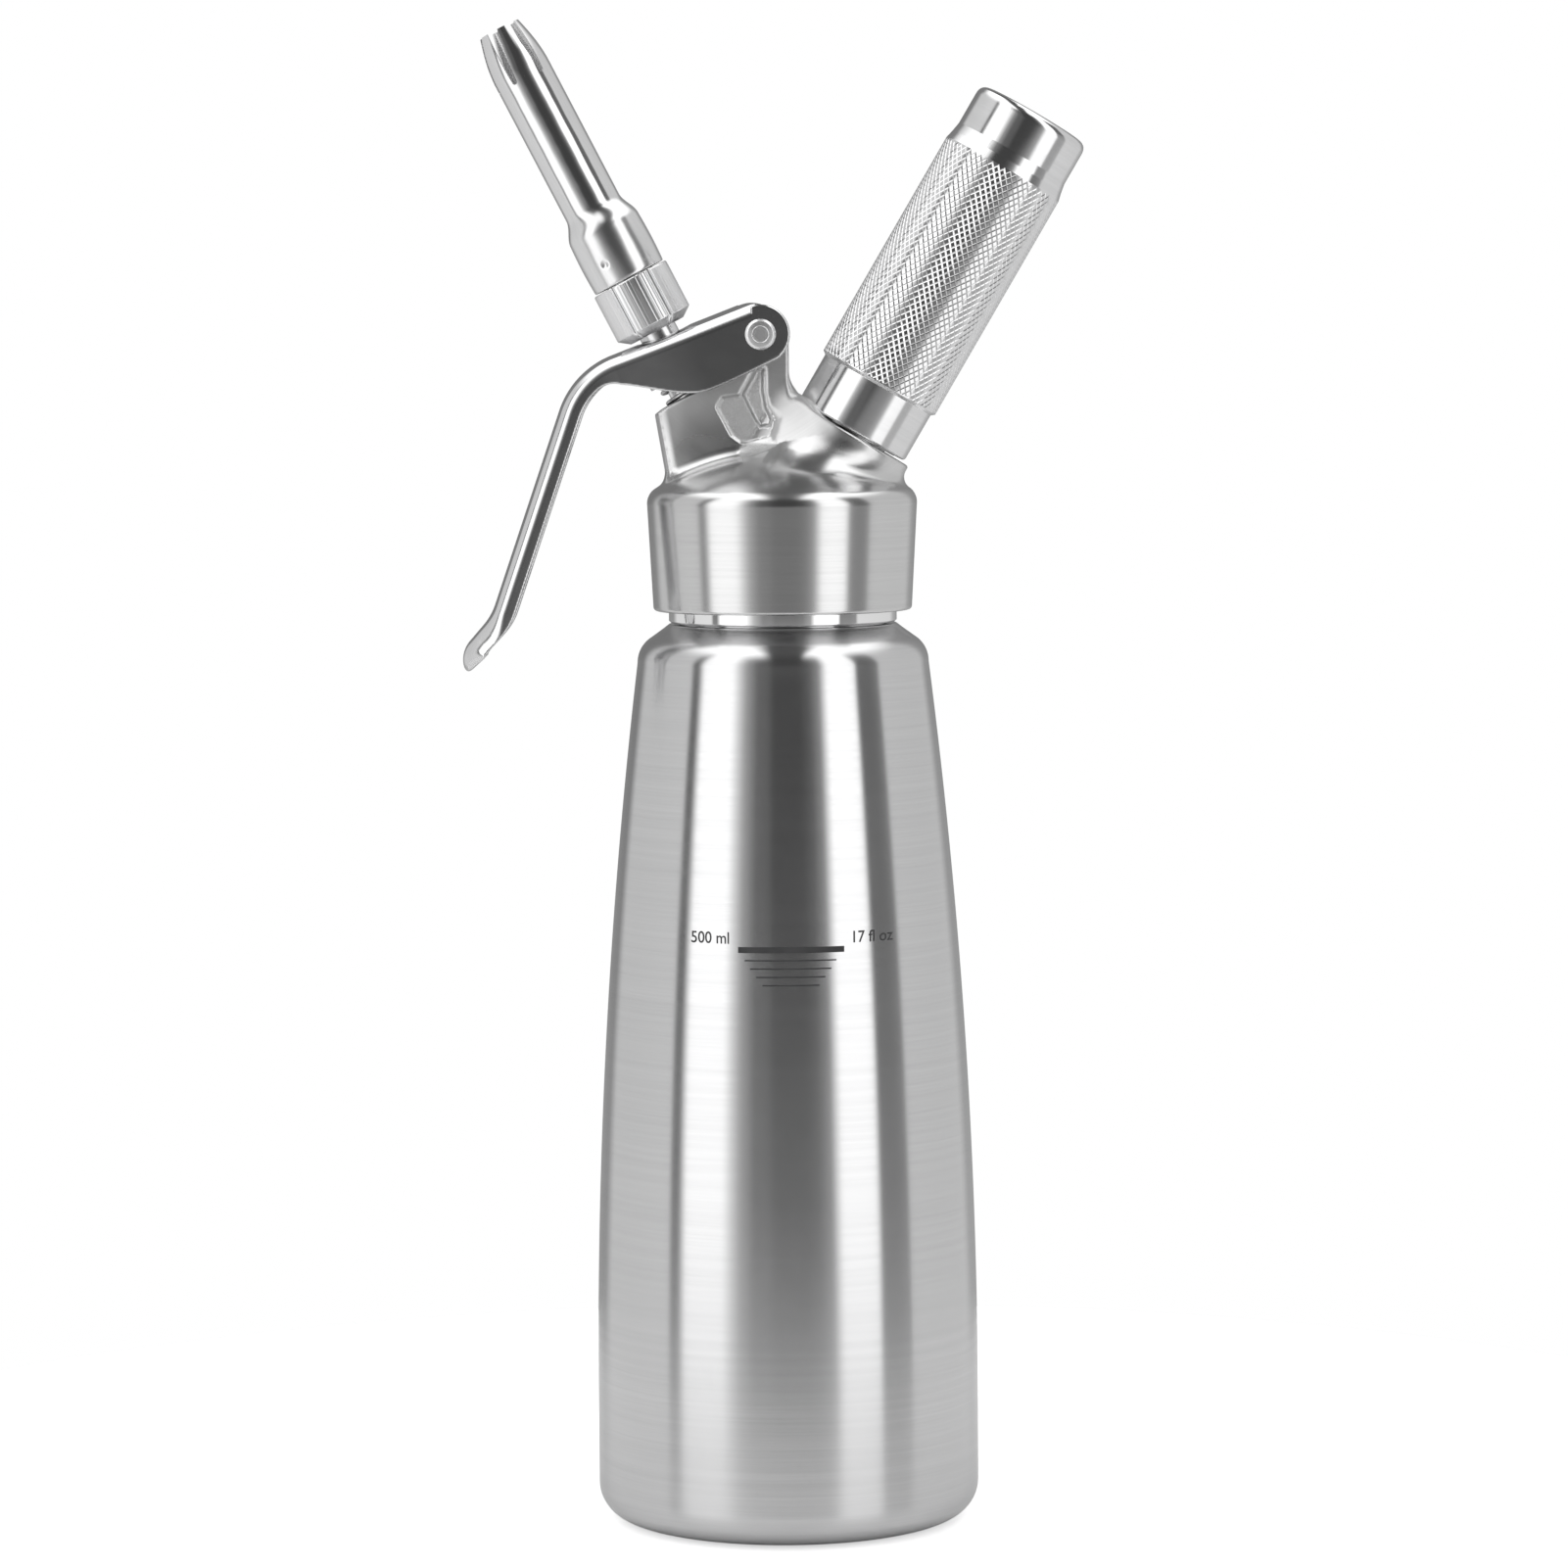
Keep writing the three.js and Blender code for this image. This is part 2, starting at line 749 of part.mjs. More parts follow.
// Valve stem: a hollow rod with cross ports over the seat and a spigot for its seal.
function valveStemForm() {
  const grooveTop = ringHeight + ringGrooveLength / 2;
  const grooveFoot = ringHeight - ringGrooveLength / 2;
  const grooveRadius = stemRadius - ringGrooveDepth;
  const spigotFoot = valveSeat - 2 * seatGap - valveSealThickness - retainerThickness - stemSpigotEnd;
  const boreFloor = valveSeat + stemBoreFloor;
  const turned = revolve(
    [
      [0, spigotFoot],
      [stemSpigotRadius, spigotFoot],
      [stemSpigotRadius, valveSeat],
      [stemRadius, valveSeat],
      [stemRadius, grooveFoot],
      [grooveRadius, grooveFoot],
      [grooveRadius, grooveTop],
      [stemRadius, grooveTop],
      [stemRadius, stemTop],
      [stemBoreRadius, stemTop],
      [stemBoreRadius, boreFloor],
      [0, boreFloor],
    ],
    midFacets,
  );
  const port = rod(portRadius, -stemRadius - overrun, stemRadius + overrun, fineFacets);
  const alongX = port.clone().rotateY(Math.PI / 2).translate(0, 0, portHeight);
  const alongY = port.clone().rotateX(Math.PI / 2).translate(0, 0, portHeight);
  return carve(turned, alongX, alongY);
}

// A flat washer along Z.
function washer(inside, outside, from, thickness, facets = midFacets) {
  const to = from + thickness;
  return revolveRing(
    [
      [inside, from],
      [outside, from],
      [outside, to],
      [inside, to],
    ],
    facets,
  );
}

function stemRingForm() {
  const inner = stemRadius - ringGrooveDepth;
  const middle = (inner + stemBore) / 2;
  const section = arc(middle, ringHeight, ringSection, 0, 2 * Math.PI, fineFacets);
  return revolve(section, midFacets);
}

function valveSealForm() {
  const foot = valveSeat - seatGap - valveSealThickness;
  return washer(stemSpigotRadius + slideGap, valveSealRadius, foot, valveSealThickness);
}

function retainerForm() {
  const top = valveSeat - 2 * seatGap - valveSealThickness;
  const hexagon = rod(retainerRadius, top - retainerThickness, top, hexagonSides);
  return carve(hexagon, rod(stemSpigotRadius + slideGap, top - retainerThickness - overrun, top + overrun));
}

// The spring cap: a domed top that the lever rests on, and a skirt over the spring.
function springCapForm() {
  const bore = stemRadius + slideGap;
  const crownRadius = bore + capWall / 2;
  return revolveRing(
    [
      [bore, capCeiling],
      [capRadius - capWall, capCeiling],
      [capRadius - capWall, capSkirtHeight],
      [capRadius, capSkirtHeight],
      [capRadius, capRimHeight],
      [(capRadius + crownRadius) / 2, (capRimHeight + capCrownHeight) / 2 + capWall / 4],
      [crownRadius, capCrownHeight],
      [bore, capCrownHeight],
    ],
    midFacets,
  );
}

// Height of the spring's wire after a number of turns: close end turns and open ones between.
function springHeightAt(turn, low, high) {
  const openPitch = (high - low - 2 * springEndPitch) / (springTurns - 2);
  if (turn < 1) {
    return low + springEndPitch * turn;
  }
  if (turn > springTurns - 1) {
    return high - springEndPitch * (springTurns - turn);
  }
  return low + springEndPitch + openPitch * (turn - 1);
}

function springForm() {
  const low = springSeat + seatGap + springWire;
  const high = capCeiling - seatGap - springWire;
  const count = springTurns * springSteps;
  const middles = Array.from({ length: count + 1 }, (_, i) => {
    const turn = i / springSteps;
    const angle = 2 * Math.PI * turn;
    return new THREE.Vector3(
      springRadius * Math.cos(angle),
      springRadius * Math.sin(angle),
      springHeightAt(turn, low, high),
    );
  });
  const sections = middles.map((middle) => {
    const outward = new THREE.Vector3(middle.x, middle.y, 0).normalize();
    return Array.from({ length: springSides }, (_, j) => {
      const angle = (2 * Math.PI * j) / springSides;
      return middle
        .clone()
        .addScaledVector(outward, springWire * Math.cos(angle))
        .add(new THREE.Vector3(0, 0, springWire * Math.sin(angle)));
    });
  });
  const cap = Array.from({ length: springSides }, (_, j) => {
    const angle = (2 * Math.PI * j) / springSides;
    return new THREE.Vector2(Math.cos(angle), Math.sin(angle));
  });
  console.log("least gap between the spring's turns:", leastTurnGap(middles).toFixed(2), "mm");
  return loft(sections, [cap, cap]);
}

// The least clear distance between points of the wire that lie over half a turn apart.
function leastTurnGap(middles) {
  let least = Infinity;
  for (let i = 0; i < middles.length; i += 1) {
    for (let j = i + Math.ceil(springSteps / 2); j < middles.length; j += 1) {
      least = Math.min(least, middles[i].distanceTo(middles[j]) - 2 * springWire);
    }
  }
  if (least < springMinGap) {
    console.log("the spring's turns are closer than", springMinGap, "mm");
  }
  return least;
}

function adapterForm() {
  const shoulder = stemTop + seatGap + adapterSealThickness + seatGap;
  const spigotTop = adapterTop + spigotLength;
  const turned = revolveRing(
    [
      [adapterBore, adapterFoot],
      [adapterFootRadius, adapterFoot],
      [adapterRadius, adapterShoulder],
      [adapterRadius, adapterTop - adapterEdge],
      [adapterRadius - adapterEdge, adapterTop],
      [spigotRadius, adapterTop],
      [spigotRadius, spigotTop - adapterEdge],
      [spigotRadius - adapterEdge, spigotTop],
      [spigotBoreRadius, spigotTop],
      [spigotBoreRadius, shoulder],
      [adapterBore, shoulder],
    ],
    wideFacets,
  );
  const flutes = Array.from({ length: fluteCount }, (_, i) => {
    const angle = fluteAngle + (2 * Math.PI * i) / fluteCount - Math.PI / 2;
    return rod(fluteRadius, adapterFoot - overrun, adapterTop + overrun, fineFacets).translate(
      adapterRadius * Math.cos(angle),
      adapterRadius * Math.sin(angle),
      0,
    );
  });
  return carve(turned, ...flutes);
}

function adapterSealForm() {
  return washer(adapterSealBore, stemRadius, stemTop + seatGap, adapterSealThickness);
}

// The nozzle's outer radius along its length: wide foot, flare, tube and tapering tip.
function nozzleOutline() {
  const foot = adapterTop + seatGap;
  const flareFoot = foot + nozzleWideLength;
  const tubeFoot = flareFoot + nozzleFlareLength;
  const taperFoot = tubeFoot + nozzleTubeLength;
  const flare = Array.from({ length: nozzleFlareSteps + 1 }, (_, i) => {
    const share = i / nozzleFlareSteps;
    const fall = (1 - Math.cos(Math.PI * share)) / 2;
    return [
      nozzleWideRadius - (nozzleWideRadius - nozzleTubeRadius) * fall,
      flareFoot + nozzleFlareLength * share,
    ];
  });
  const taper = Array.from({ length: nozzleTaperSteps + 1 }, (_, i) => {
    const share = i / nozzleTaperSteps;
    const bow = nozzleTaperBow * Math.sin(Math.PI * share);
    return [
      nozzleTubeRadius - (nozzleTubeRadius - nozzleMouthRadius) * share + bow,
      taperFoot + nozzleTaperLength * share,
    ];
  });
  return [[nozzleWideRadius, foot], ...flare, ...taper];
}

// One tapering slot between two petals, round at its root, cut outward from the nozzle's axis.
function petalSlot(angle, mouth) {
  const root = mouth - slotLength + slotRootWidth / 2;
  const outline = new THREE.Shape();
  outline.absarc(0, root, slotRootWidth / 2, Math.PI, 2 * Math.PI, false);
  outline.lineTo(slotMouthWidth / 2, mouth + overrun);
  outline.lineTo(-slotMouthWidth / 2, mouth + overrun);
  outline.closePath();
  const reach = nozzleTubeRadius + overrun;
  return slab(outline, reach).translate(0, -reach / 2, 0).rotateZ(angle);
}

function nozzleForm() {
  const outer = nozzleOutline();
  const inner = outer.map(([radius, height]) => [radius - nozzleSheet, height]).reverse();
  const mouth = outer[outer.length - 1][1];
  const shell = revolveRing([...outer, ...inner], midFacets);
  const slots = Array.from({ length: petalCount }, (_, i) => {
    return petalSlot(petalTurn + (2 * Math.PI * i) / petalCount, mouth);
  });
  return carve(shell, ...slots);
}

// The lever's back line, seen from the side and measured from the pivot: place, run and inward direction.
function leverStations() {
  const stations = [];
  let place = new THREE.Vector2(-Math.sin(plateSlope), Math.cos(plateSlope)).multiplyScalar(plateHeight);
  let heading = Math.PI + plateSlope;
  let run = -plateBackLength;
  place = place.addScaledVector(directionOf(heading), run);
  const add = () => stations.push({ place: place.clone(), inward: directionOf(heading + Math.PI / 2), run });
  const straight = (length, steps) => {
    for (let i = 0; i < steps; i += 1) {
      place = place.clone().addScaledVector(directionOf(heading), length / steps);
      run += length / steps;
      add();
    }
  };
  const bend = (radius, turn, steps) => {
    const step = turn / steps;
    for (let i = 0; i < steps; i += 1) {
      const chord = 2 * radius * Math.sin(Math.abs(step) / 2);
      place = place.clone().addScaledVector(directionOf(heading + step / 2), chord);
      heading += step;
      run += radius * Math.abs(step);
      add();
    }
  };
  add();
  straight(plateBackLength + plateFrontLength, taperSteps);
  bend(elbowRadius, elbowTurn, cornerSteps);
  straight(handleLength, bendSteps);
  bend(flareRadius, -flareTurn, bendSteps);
  straight(flareLength, bendSteps);
  bend(curlRadius, curlTurn, cornerSteps);
  return stations;
}

function directionOf(angle) {
  return new THREE.Vector2(Math.cos(angle), Math.sin(angle));
}

// A smooth step from 0 to 1 between two places.
function ease(value, from, to) {
  const share = THREE.MathUtils.clamp((value - from) / (to - from), 0, 1);
  return share * share * (3 - 2 * share);
}

// Depth of the lever's sides at a run along its back.
function sideDepthAt(run, fullRun) {
  const side = sideDepth - (sideDepth - handleDepth) * ease(run, sideNarrowStart, sideNarrowEnd);
  return side - (handleDepth - tipDepth) * ease(run, fullRun - tipNarrowLength, fullRun);
}

// Half the lever's width at a run along its back, round at the tip.
function halfWidthAt(run, fullRun) {
  const narrowing = leverHalfWidth - handleHalfWidth;
  const handle = leverHalfWidth - narrowing * ease(run, sideNarrowStart, sideNarrowEnd);
  const share = THREE.MathUtils.clamp((run - fullRun + tipNarrowLength) / tipNarrowLength, 0, 1);
  return tipHalfWidth + (handle - tipHalfWidth) * Math.sqrt(1 - share * share);
}

// Half of a section from the middle of the crowned back to the lower edge, set in by an offset.
function halfSection(halfWidth, depth, crown, bend, offset) {
  const flat = halfWidth - bend;
  const bendCentre = -offset - crown - bend;
  const back = Array.from({ length: crownSteps / 2 }, (_, i) => {
    const share = i / (crownSteps / 2);
    return [flat * share, -offset - crown * share * share];
  });
  return [...back, ...arc(flat, bendCentre, bend, Math.PI / 2, 0, bendSteps), [halfWidth, -depth]];
}

// One section of the lever's sheet as a closed outline of width and height.
function sheetSection(halfWidth, depth) {
  const fit = Math.min(1, (depth - sheet) / (leverCrown + leverBend));
  const crown = leverCrown * fit;
  const bend = leverBend * fit;
  const innerBend = Math.max(bend - sheet, bend * sharpBendShare);
  const outer = halfSection(halfWidth, depth, crown, bend, 0);
  const inner = halfSection(halfWidth - sheet, depth, crown, innerBend, sheet);
  const mirrored = (points) => points.map(([across, up]) => [-across, up]);
  return [
    ...mirrored(outer).reverse(),
    ...outer.slice(1),
    ...[...inner].reverse(),
    ...mirrored(inner).slice(1),
  ].map(([across, up]) => new THREE.Vector2(across, up));
}

function leverChannel() {
  const stations = leverStations();
  const fullRun = stations[stations.length - 1].run;
  const outlines = stations.map(({ run }) => {
    return sheetSection(halfWidthAt(run, fullRun), sideDepthAt(run, fullRun));
  });
  const sections = outlines.map((outline, i) => outline.map((point) => {
    const { place, inward } = stations[i];
    const across = place.clone().addScaledVector(inward, -point.y);
    return new THREE.Vector3(across.x, point.x, across.y).add(pivotPlace);
  }));
  return loft(sections, [outlines[0], outlines[outlines.length - 1]]);
}

// What is kept of the channel round the pivot: a round end with a tangent lower edge.
function leverEndOutline() {
  const far = handleLength * 2;
  const tangent = leverEndTangent - Math.PI / 2;
  const low = leverEndRadius * (Math.sin(tangent) - (1 + Math.cos(tangent)) * Math.tan(leverEndTangent));
  const outline = new THREE.Shape();
  outline.moveTo(-far, far);
  outline.lineTo(-plateEnd, far);
  outline.absarc(0, 0, leverEndRadius, Math.acos(-plateEnd / leverEndRadius), tangent, true);
  outline.lineTo(-leverEndRadius, low);
  outline.lineTo(-leverEndRadius, -far);
  outline.lineTo(-far, -far);
  outline.closePath();
  return slab(outline, far, midFacets / 2).translate(pivotPlace.x, 0, pivotPlace.z);
}

// The flat round ends of the two sides, behind the end of the crowned back.
function leverEndPlates() {
  const outline = new THREE.Shape();
  const rim = Math.acos(-plateEnd / leverEndRadius);
  outline.absarc(0, 0, leverEndRadius, rim, -rim, true);
  outline.closePath();
  return slab(outline, 2 * leverHalfWidth, midFacets / 2).translate(pivotPlace.x, 0, pivotPlace.z);
}

// The slot in the lever's back that the stem stands in, long enough for the lever's swing.
function stemSlot() {
  const outline = new THREE.Shape();
  const radius = stemRadius + slotSlack;
  outline.absarc(0, 0, radius, Math.PI / 2, (3 * Math.PI) / 2, false);
  outline.absarc(slotTravel, 0, radius, -Math.PI / 2, Math.PI / 2, false);
  outline.closePath();
  return new THREE.ExtrudeGeometry(outline, {
    depth: adapterFoot,
    bevelEnabled: false,
    curveSegments: smallFacets / 2,
  })
    .translate(0, 0, capSkirtHeight)
    .applyMatrix4(valveFrame);
}

function leverForm() {
  const inside = 2 * (leverHalfWidth - sheet);
  const reach = leverEndRadius + overrun;
  const room = new THREE.BoxGeometry(reach, inside, 2 * reach + plateHeight)
    .translate(pivotPlace.x - plateEnd + reach / 2, 0, pivotPlace.z);
  const channel = unite(common(leverChannel(), leverEndOutline()), leverEndPlates());
  return carve(channel, room, stemSlot(), pivotHole(pivotHoleRadius, 2 * leverHalfWidth + overrun));
}

// A turned piece along the pivot's axis, drawn with its heights running to -Y.
function onPivot(form) {
  return form.rotateX(Math.PI / 2).translate(pivotPlace.x, 0, pivotPlace.z);
}

function pivotScrewForm() {
  const seat = leverHalfWidth + seatGap;
  const top = seat + pivotHeadThickness;
  return onPivot(revolve(
    [
      [0, seat - screwShankLength],
      [screwShankRadius, seat - screwShankLength],
      [screwShankRadius, seat],
      [pivotHeadRadius, seat],
      [pivotHeadRadius, top - pivotHeadChamfer],
      [pivotHeadRadius - pivotHeadChamfer, top],
      [screwSocketRadius, top],
      [screwSocketRadius, top - screwSocketDepth],
      [0, top - screwSocketDepth],
    ],
    smallFacets,
  ));
}

function pivotSleeveForm() {
  const seat = leverHalfWidth + seatGap;
  const foot = -seat - pivotHeadThickness;
  const boreRadius = screwShankRadius + slideGap;
  const boreFloor = seat - screwShankLength - slideGap;
  return onPivot(revolve(
    [
      [0, foot],
      [pivotHeadRadius - pivotHeadChamfer, foot],
      [pivotHeadRadius, foot + pivotHeadChamfer],
      [pivotHeadRadius, -seat],
      [sleeveRadius, -seat],
      [sleeveRadius, seat - seatGap],
      [boreRadius, seat - seatGap],
      [boreRadius, boreFloor],
      [0, boreFloor],
    ],
    smallFacets,
  ));
}

function nozzleInsertForm() {
  const foot = adapterTop + seatGap;
  const outside = nozzleWideRadius - nozzleSheet - slideGap;
  return washer(spigotRadius + slideGap, outside, foot, insertLength, wideFacets);
}

function chargerPostForm() {
  const inside = needleBodyRadius + slideGap;
  const shoulder = seatGap - bossGap;
  return revolveRing(
    [
      [inside, -postSpigotLength],
      [postSpigotRadius, -postSpigotLength],
      [postSpigotRadius, shoulder],
      [postRadius, shoulder],
      [postRadius, postHeight - postEdge],
      [postRadius - postEdge, postHeight],
      [postCupRadius, postHeight],
      [postCupRadius, postCupFloor],
      [inside, postCupFloor],
    ],
    midFacets,
  );
}

function needleForm() {
  const bodyTop = postCupFloor - seatGap;
  return revolveRing(
    [
      [needleBoreRadius, -postSpigotLength],
      [needleBodyRadius, -postSpigotLength],
      [needleBodyRadius, bodyTop],
      [needlePointRadius, bodyTop],
      [needlePointRadius, (bodyTop + needleTipHeight) / 2],
      [needleTipRadius, needleTipHeight],
      [needleBoreRadius, needleTipHeight],
    ],
    smallFacets,
  );
}

function chargerSealForm() {
  const foot = postCupFloor + seatGap;
  return washer(needlePointRadius + slideGap, chargerSealRadius, foot, chargerSealThickness);
}

function checkDiscForm() {
  const top = checkBoreTop - seatGap;
  return rod(checkDiscRadius, top - checkDiscThickness, top);
}

function checkNutForm() {
  const top = checkBoreTop - 2 * seatGap - checkDiscThickness;
  const foot = top - checkNutLength;
  const socket = rod(checkHexRadius, foot - overrun, foot + checkHexDepth, hexagonSides);
  return carve(washer(checkNutBore, checkBoreRadius - slideGap, foot, checkNutLength), socket);
}

// The charger's shoulder: a smooth step from the neck to the body, set in by a wall.
function chargerShoulder(foot, wall) {
  return Array.from({ length: bendSteps + 1 }, (_, i) => {
    const share = i / bendSteps;
    const rise = (1 - Math.cos(Math.PI * share)) / 2;
    return [
      chargerNeckRadius - wall + (chargerRadius - chargerNeckRadius) * rise,
      foot + chargerShoulderLength * share,
    ];
  });
}

function gasChargerForm() {
  const foot = chargerFoot;
  const top = foot + chargerLength;
  const neckTop = foot + chargerNeckLength;
  const endCentre = chargerRadius - chargerEndRadius;
  return revolve(
    [
      [chargerMouthRadius, foot],
      [chargerNeckRadius, foot],
      ...chargerShoulder(neckTop, 0),
      ...arc(endCentre, top - chargerEndRadius, chargerEndRadius, 0, Math.PI / 2, bendSteps),
      [0, top],
      [0, top - chargerWall],
      ...arc(
        endCentre,
        top - chargerEndRadius,
        chargerEndRadius - chargerWall,
        Math.PI / 2,
        0,
        bendSteps,
      ),
      ...chargerShoulder(neckTop + chargerWall, chargerWall).reverse(),
      [chargerNeckRadius - chargerWall, foot + chargerMouthWall],
      [chargerMouthRadius, foot + chargerMouthWall],
      [chargerMouthRadius, foot],
    ],
    midFacets,
  );
}

function chargerHolderForm() {
  const boreTop = chargerFoot + chargerLength + seatGap;
  const boreRadius = chargerRadius + holderBoreGap;
  const threadRadius = postRadius + threadClearance;
  const rimCentre = holderPlainRadius - holderRimFillet;
  const endCentre = holderPlainRadius - holderEndFillet;
  return revolve(
    [
      [threadRadius, 0],
      ...arc(rimCentre, holderRimFillet, holderRimFillet, -Math.PI / 2, 0, bendSteps),
      [holderPlainRadius, holderKnurlStart],
      [holderKnurlRadius, holderKnurlStart + holderKnurlChamfer],
      [holderKnurlRadius, holderKnurlEnd],
      [holderPlainRadius, holderConeEnd],
      ...arc(endCentre, holderLength - holderEndFillet, holderEndFillet, 0, Math.PI / 2, cornerSteps),
      [0, holderLength],
      [0, boreTop],
      [boreRadius, boreTop],
      [boreRadius, holderThreadDepth],
      [threadRadius, holderThreadDepth],
      [threadRadius, 0],
    ],
    wideFacets,
  );
}

// The assembly
const steel = () => finish(steelColour, steelRoughness, 1);
const polished = () => finish(polishedColour, polishedRoughness, 1);
const rubber = (colour) => finish(colour, rubberRoughness, 0);

const dispenser = new THREE.Group();
dispenser.name = "whipped_cream_dispenser";
dispenser.add(
  piece("bottle", bottleForm(), steel()),
  piece("neck_ring", neckRingForm(), polished()),
  piece("head_gasket", headGasketForm(), rubber(siliconeColour)),
  piece("head_body", headBodyForm(), steel()),
  piece("lever", leverForm(), polished()),
  piece("pivot_screw", pivotScrewForm(), polished()),
  piece("pivot_sleeve", pivotSleeveForm(), polished()),
);

const valveGroup = new THREE.Group();
valveGroup.position.copy(towerTop);
valveGroup.rotation.y = -valveLean;
valveGroup.add(
  piece("valve_stem", valveStemForm(), polished()),
  piece("stem_o_ring", stemRingForm(), rubber(rubberColour)),
  piece("valve_seal", valveSealForm(), rubber(rubberColour)),
  piece("seal_retainer", retainerForm(), steel()),
  piece("spring_cap", springCapForm(), polished()),
  piece("valve_spring", springForm(), finish(springColour, steelRoughness, 1)),
  piece("nozzle_adapter", adapterForm(), polished()),
  piece("adapter_seal", adapterSealForm(), rubber(rubberColour)),
  piece("nozzle_insert", nozzleInsertForm(), finish(plasticColour, plasticRoughness, 0)),
  piece("decorator_nozzle", nozzleForm(), polished()),
);
dispenser.add(valveGroup);

const gasGroup = new THREE.Group();
gasGroup.position.copy(holderFoot);
gasGroup.rotation.y = chargerLean;
gasGroup.add(
  piece("charger_post", chargerPostForm(), steel()),
  piece("piercing_needle", needleForm(), polished()),
  piece("charger_seal", chargerSealForm(), rubber(rubberColour)),
  piece("check_valve_disc", checkDiscForm(), rubber(rubberColour)),
  piece("check_valve_nut", checkNutForm(), steel()),
  piece("gas_charger", gasChargerForm(), steel()),
  piece("charger_holder", chargerHolderForm(), steel()),
);
dispenser.add(gasGroup);

export default dispenser;
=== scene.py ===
import json
import math

import bmesh
import bpy
import numpy as np
from mathutils import Matrix, Vector


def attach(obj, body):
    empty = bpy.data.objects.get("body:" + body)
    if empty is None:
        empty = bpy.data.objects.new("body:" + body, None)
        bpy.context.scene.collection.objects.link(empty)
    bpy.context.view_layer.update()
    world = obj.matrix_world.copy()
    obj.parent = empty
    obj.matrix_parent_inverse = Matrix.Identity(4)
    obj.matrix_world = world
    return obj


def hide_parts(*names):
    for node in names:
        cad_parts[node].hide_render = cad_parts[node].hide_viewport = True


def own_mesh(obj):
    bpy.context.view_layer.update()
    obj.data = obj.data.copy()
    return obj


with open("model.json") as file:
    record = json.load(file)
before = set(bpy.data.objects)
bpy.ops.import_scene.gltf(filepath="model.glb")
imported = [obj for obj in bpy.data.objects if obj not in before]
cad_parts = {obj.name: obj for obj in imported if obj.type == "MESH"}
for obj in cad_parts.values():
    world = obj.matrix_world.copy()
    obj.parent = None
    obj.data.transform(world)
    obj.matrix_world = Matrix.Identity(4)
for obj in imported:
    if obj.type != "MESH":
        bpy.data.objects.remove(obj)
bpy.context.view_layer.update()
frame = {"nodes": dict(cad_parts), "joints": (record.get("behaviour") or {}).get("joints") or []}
joints = {joint["name"]: joint for joint in frame["joints"]}
print("frame loaded with", len(frame["nodes"]), "nodes")

mm = 0.001


# places taken from the frame's joints
def leaning(joint):
    up = Vector(joint["axis"])
    side = Vector((0, 1, 0)).cross(up)
    place = Matrix((side, Vector((0, 1, 0)), up)).transposed().to_4x4()
    place.translation = Vector(joint["pos_m"])
    return place


upright = Matrix.Identity(4)
valvePlace = leaning(joints["nozzle_turn"])      # zero is the tower's top, +Z runs up the nozzle
gasPlace = leaning(joints["holder_turn"])        # zero is the holder's lower rim, +Z runs up the holder
pivotPoint = Vector(joints["lever_squeeze"]["pos_m"]) / mm


cameraSettings = {
    "lens": 129.856,
    "sensor": 36.0,
    "distance": 1.16,
    "aimHeight": 0.1512,
    "pitch": 4.6,
    "roll": -0.41,
    "clip": (0.05, 20),
}


def addCamera(s):
    data = bpy.data.cameras.new("camera")
    data.lens, data.sensor_width = s["lens"], s["sensor"]
    data.clip_start, data.clip_end = s["clip"]
    camera = bpy.data.objects.new("camera", data)
    bpy.context.scene.collection.objects.link(camera)
    pitch = math.radians(s["pitch"])
    camera.location = (0, -s["distance"] * math.cos(pitch), s["aimHeight"] + s["distance"] * math.sin(pitch))
    turn = Matrix.Rotation(math.pi / 2 - pitch, 3, "X") @ Matrix.Rotation(math.radians(s["roll"]), 3, "Z")
    camera.rotation_euler = turn.to_euler()
    bpy.context.scene.camera = camera


addCamera(cameraSettings)
print("camera placed")


# mesh helpers, lengths in millimetres
def rounded(corners, closed=False, steps=5):
    # corners are (across, up) or (across, up, fillet)
    points = []
    count = len(corners)
    for k, corner in enumerate(corners):
        here = Vector(corner[:2])
        fillet = corner[2] if len(corner) > 2 else 0
        if not fillet or (not closed and k in (0, count - 1)):
            points.append(tuple(here))
            continue
        back = Vector(corners[k - 1][:2]) - here
        ahead = Vector(corners[(k + 1) % count][:2]) - here
        reach = min(fillet / math.tan(back.angle(ahead) / 2), 0.49 * back.length, 0.49 * ahead.length)
        first, last = here + back.normalized() * reach, here + ahead.normalized() * reach
        for step in range(steps + 1):
            t = step / steps
            points.append(tuple(first * (1 - t) ** 2 + here * 2 * t * (1 - t) + last * t * t))
    return points


def arc(across, up, radius, angles):
    return [(across + radius * math.cos(a), up + radius * math.sin(a)) for a in angles]


def finishMesh(name, points, faces, place, sharp=38, corners=None):
    matrix = np.array(place)
    placed = (np.asarray(points, float) * mm) @ matrix[:3, :3].T + matrix[:3, 3]
    mesh = bpy.data.meshes.new(name)
    mesh.from_pydata(placed.tolist(), [], faces)
    if corners is not None:
        layer = mesh.uv_layers.new(name="run")
        layer.data.foreach_set("uv", (np.asarray(corners, float) * mm).ravel())
    piece = bpy.data.objects.new(name, mesh)
    bpy.context.scene.collection.objects.link(piece)
    if mesh.validate():
        print("  mended mesh of", name)
    edit = bmesh.new()
    edit.from_mesh(mesh)
    bmesh.ops.recalc_face_normals(edit, faces=edit.faces)
    edit.to_mesh(mesh)
    edit.free()
    mesh.polygons.foreach_set("use_smooth", [True] * len(mesh.polygons))
    mesh.set_sharp_from_angle(angle=math.radians(sharp))
    return piece


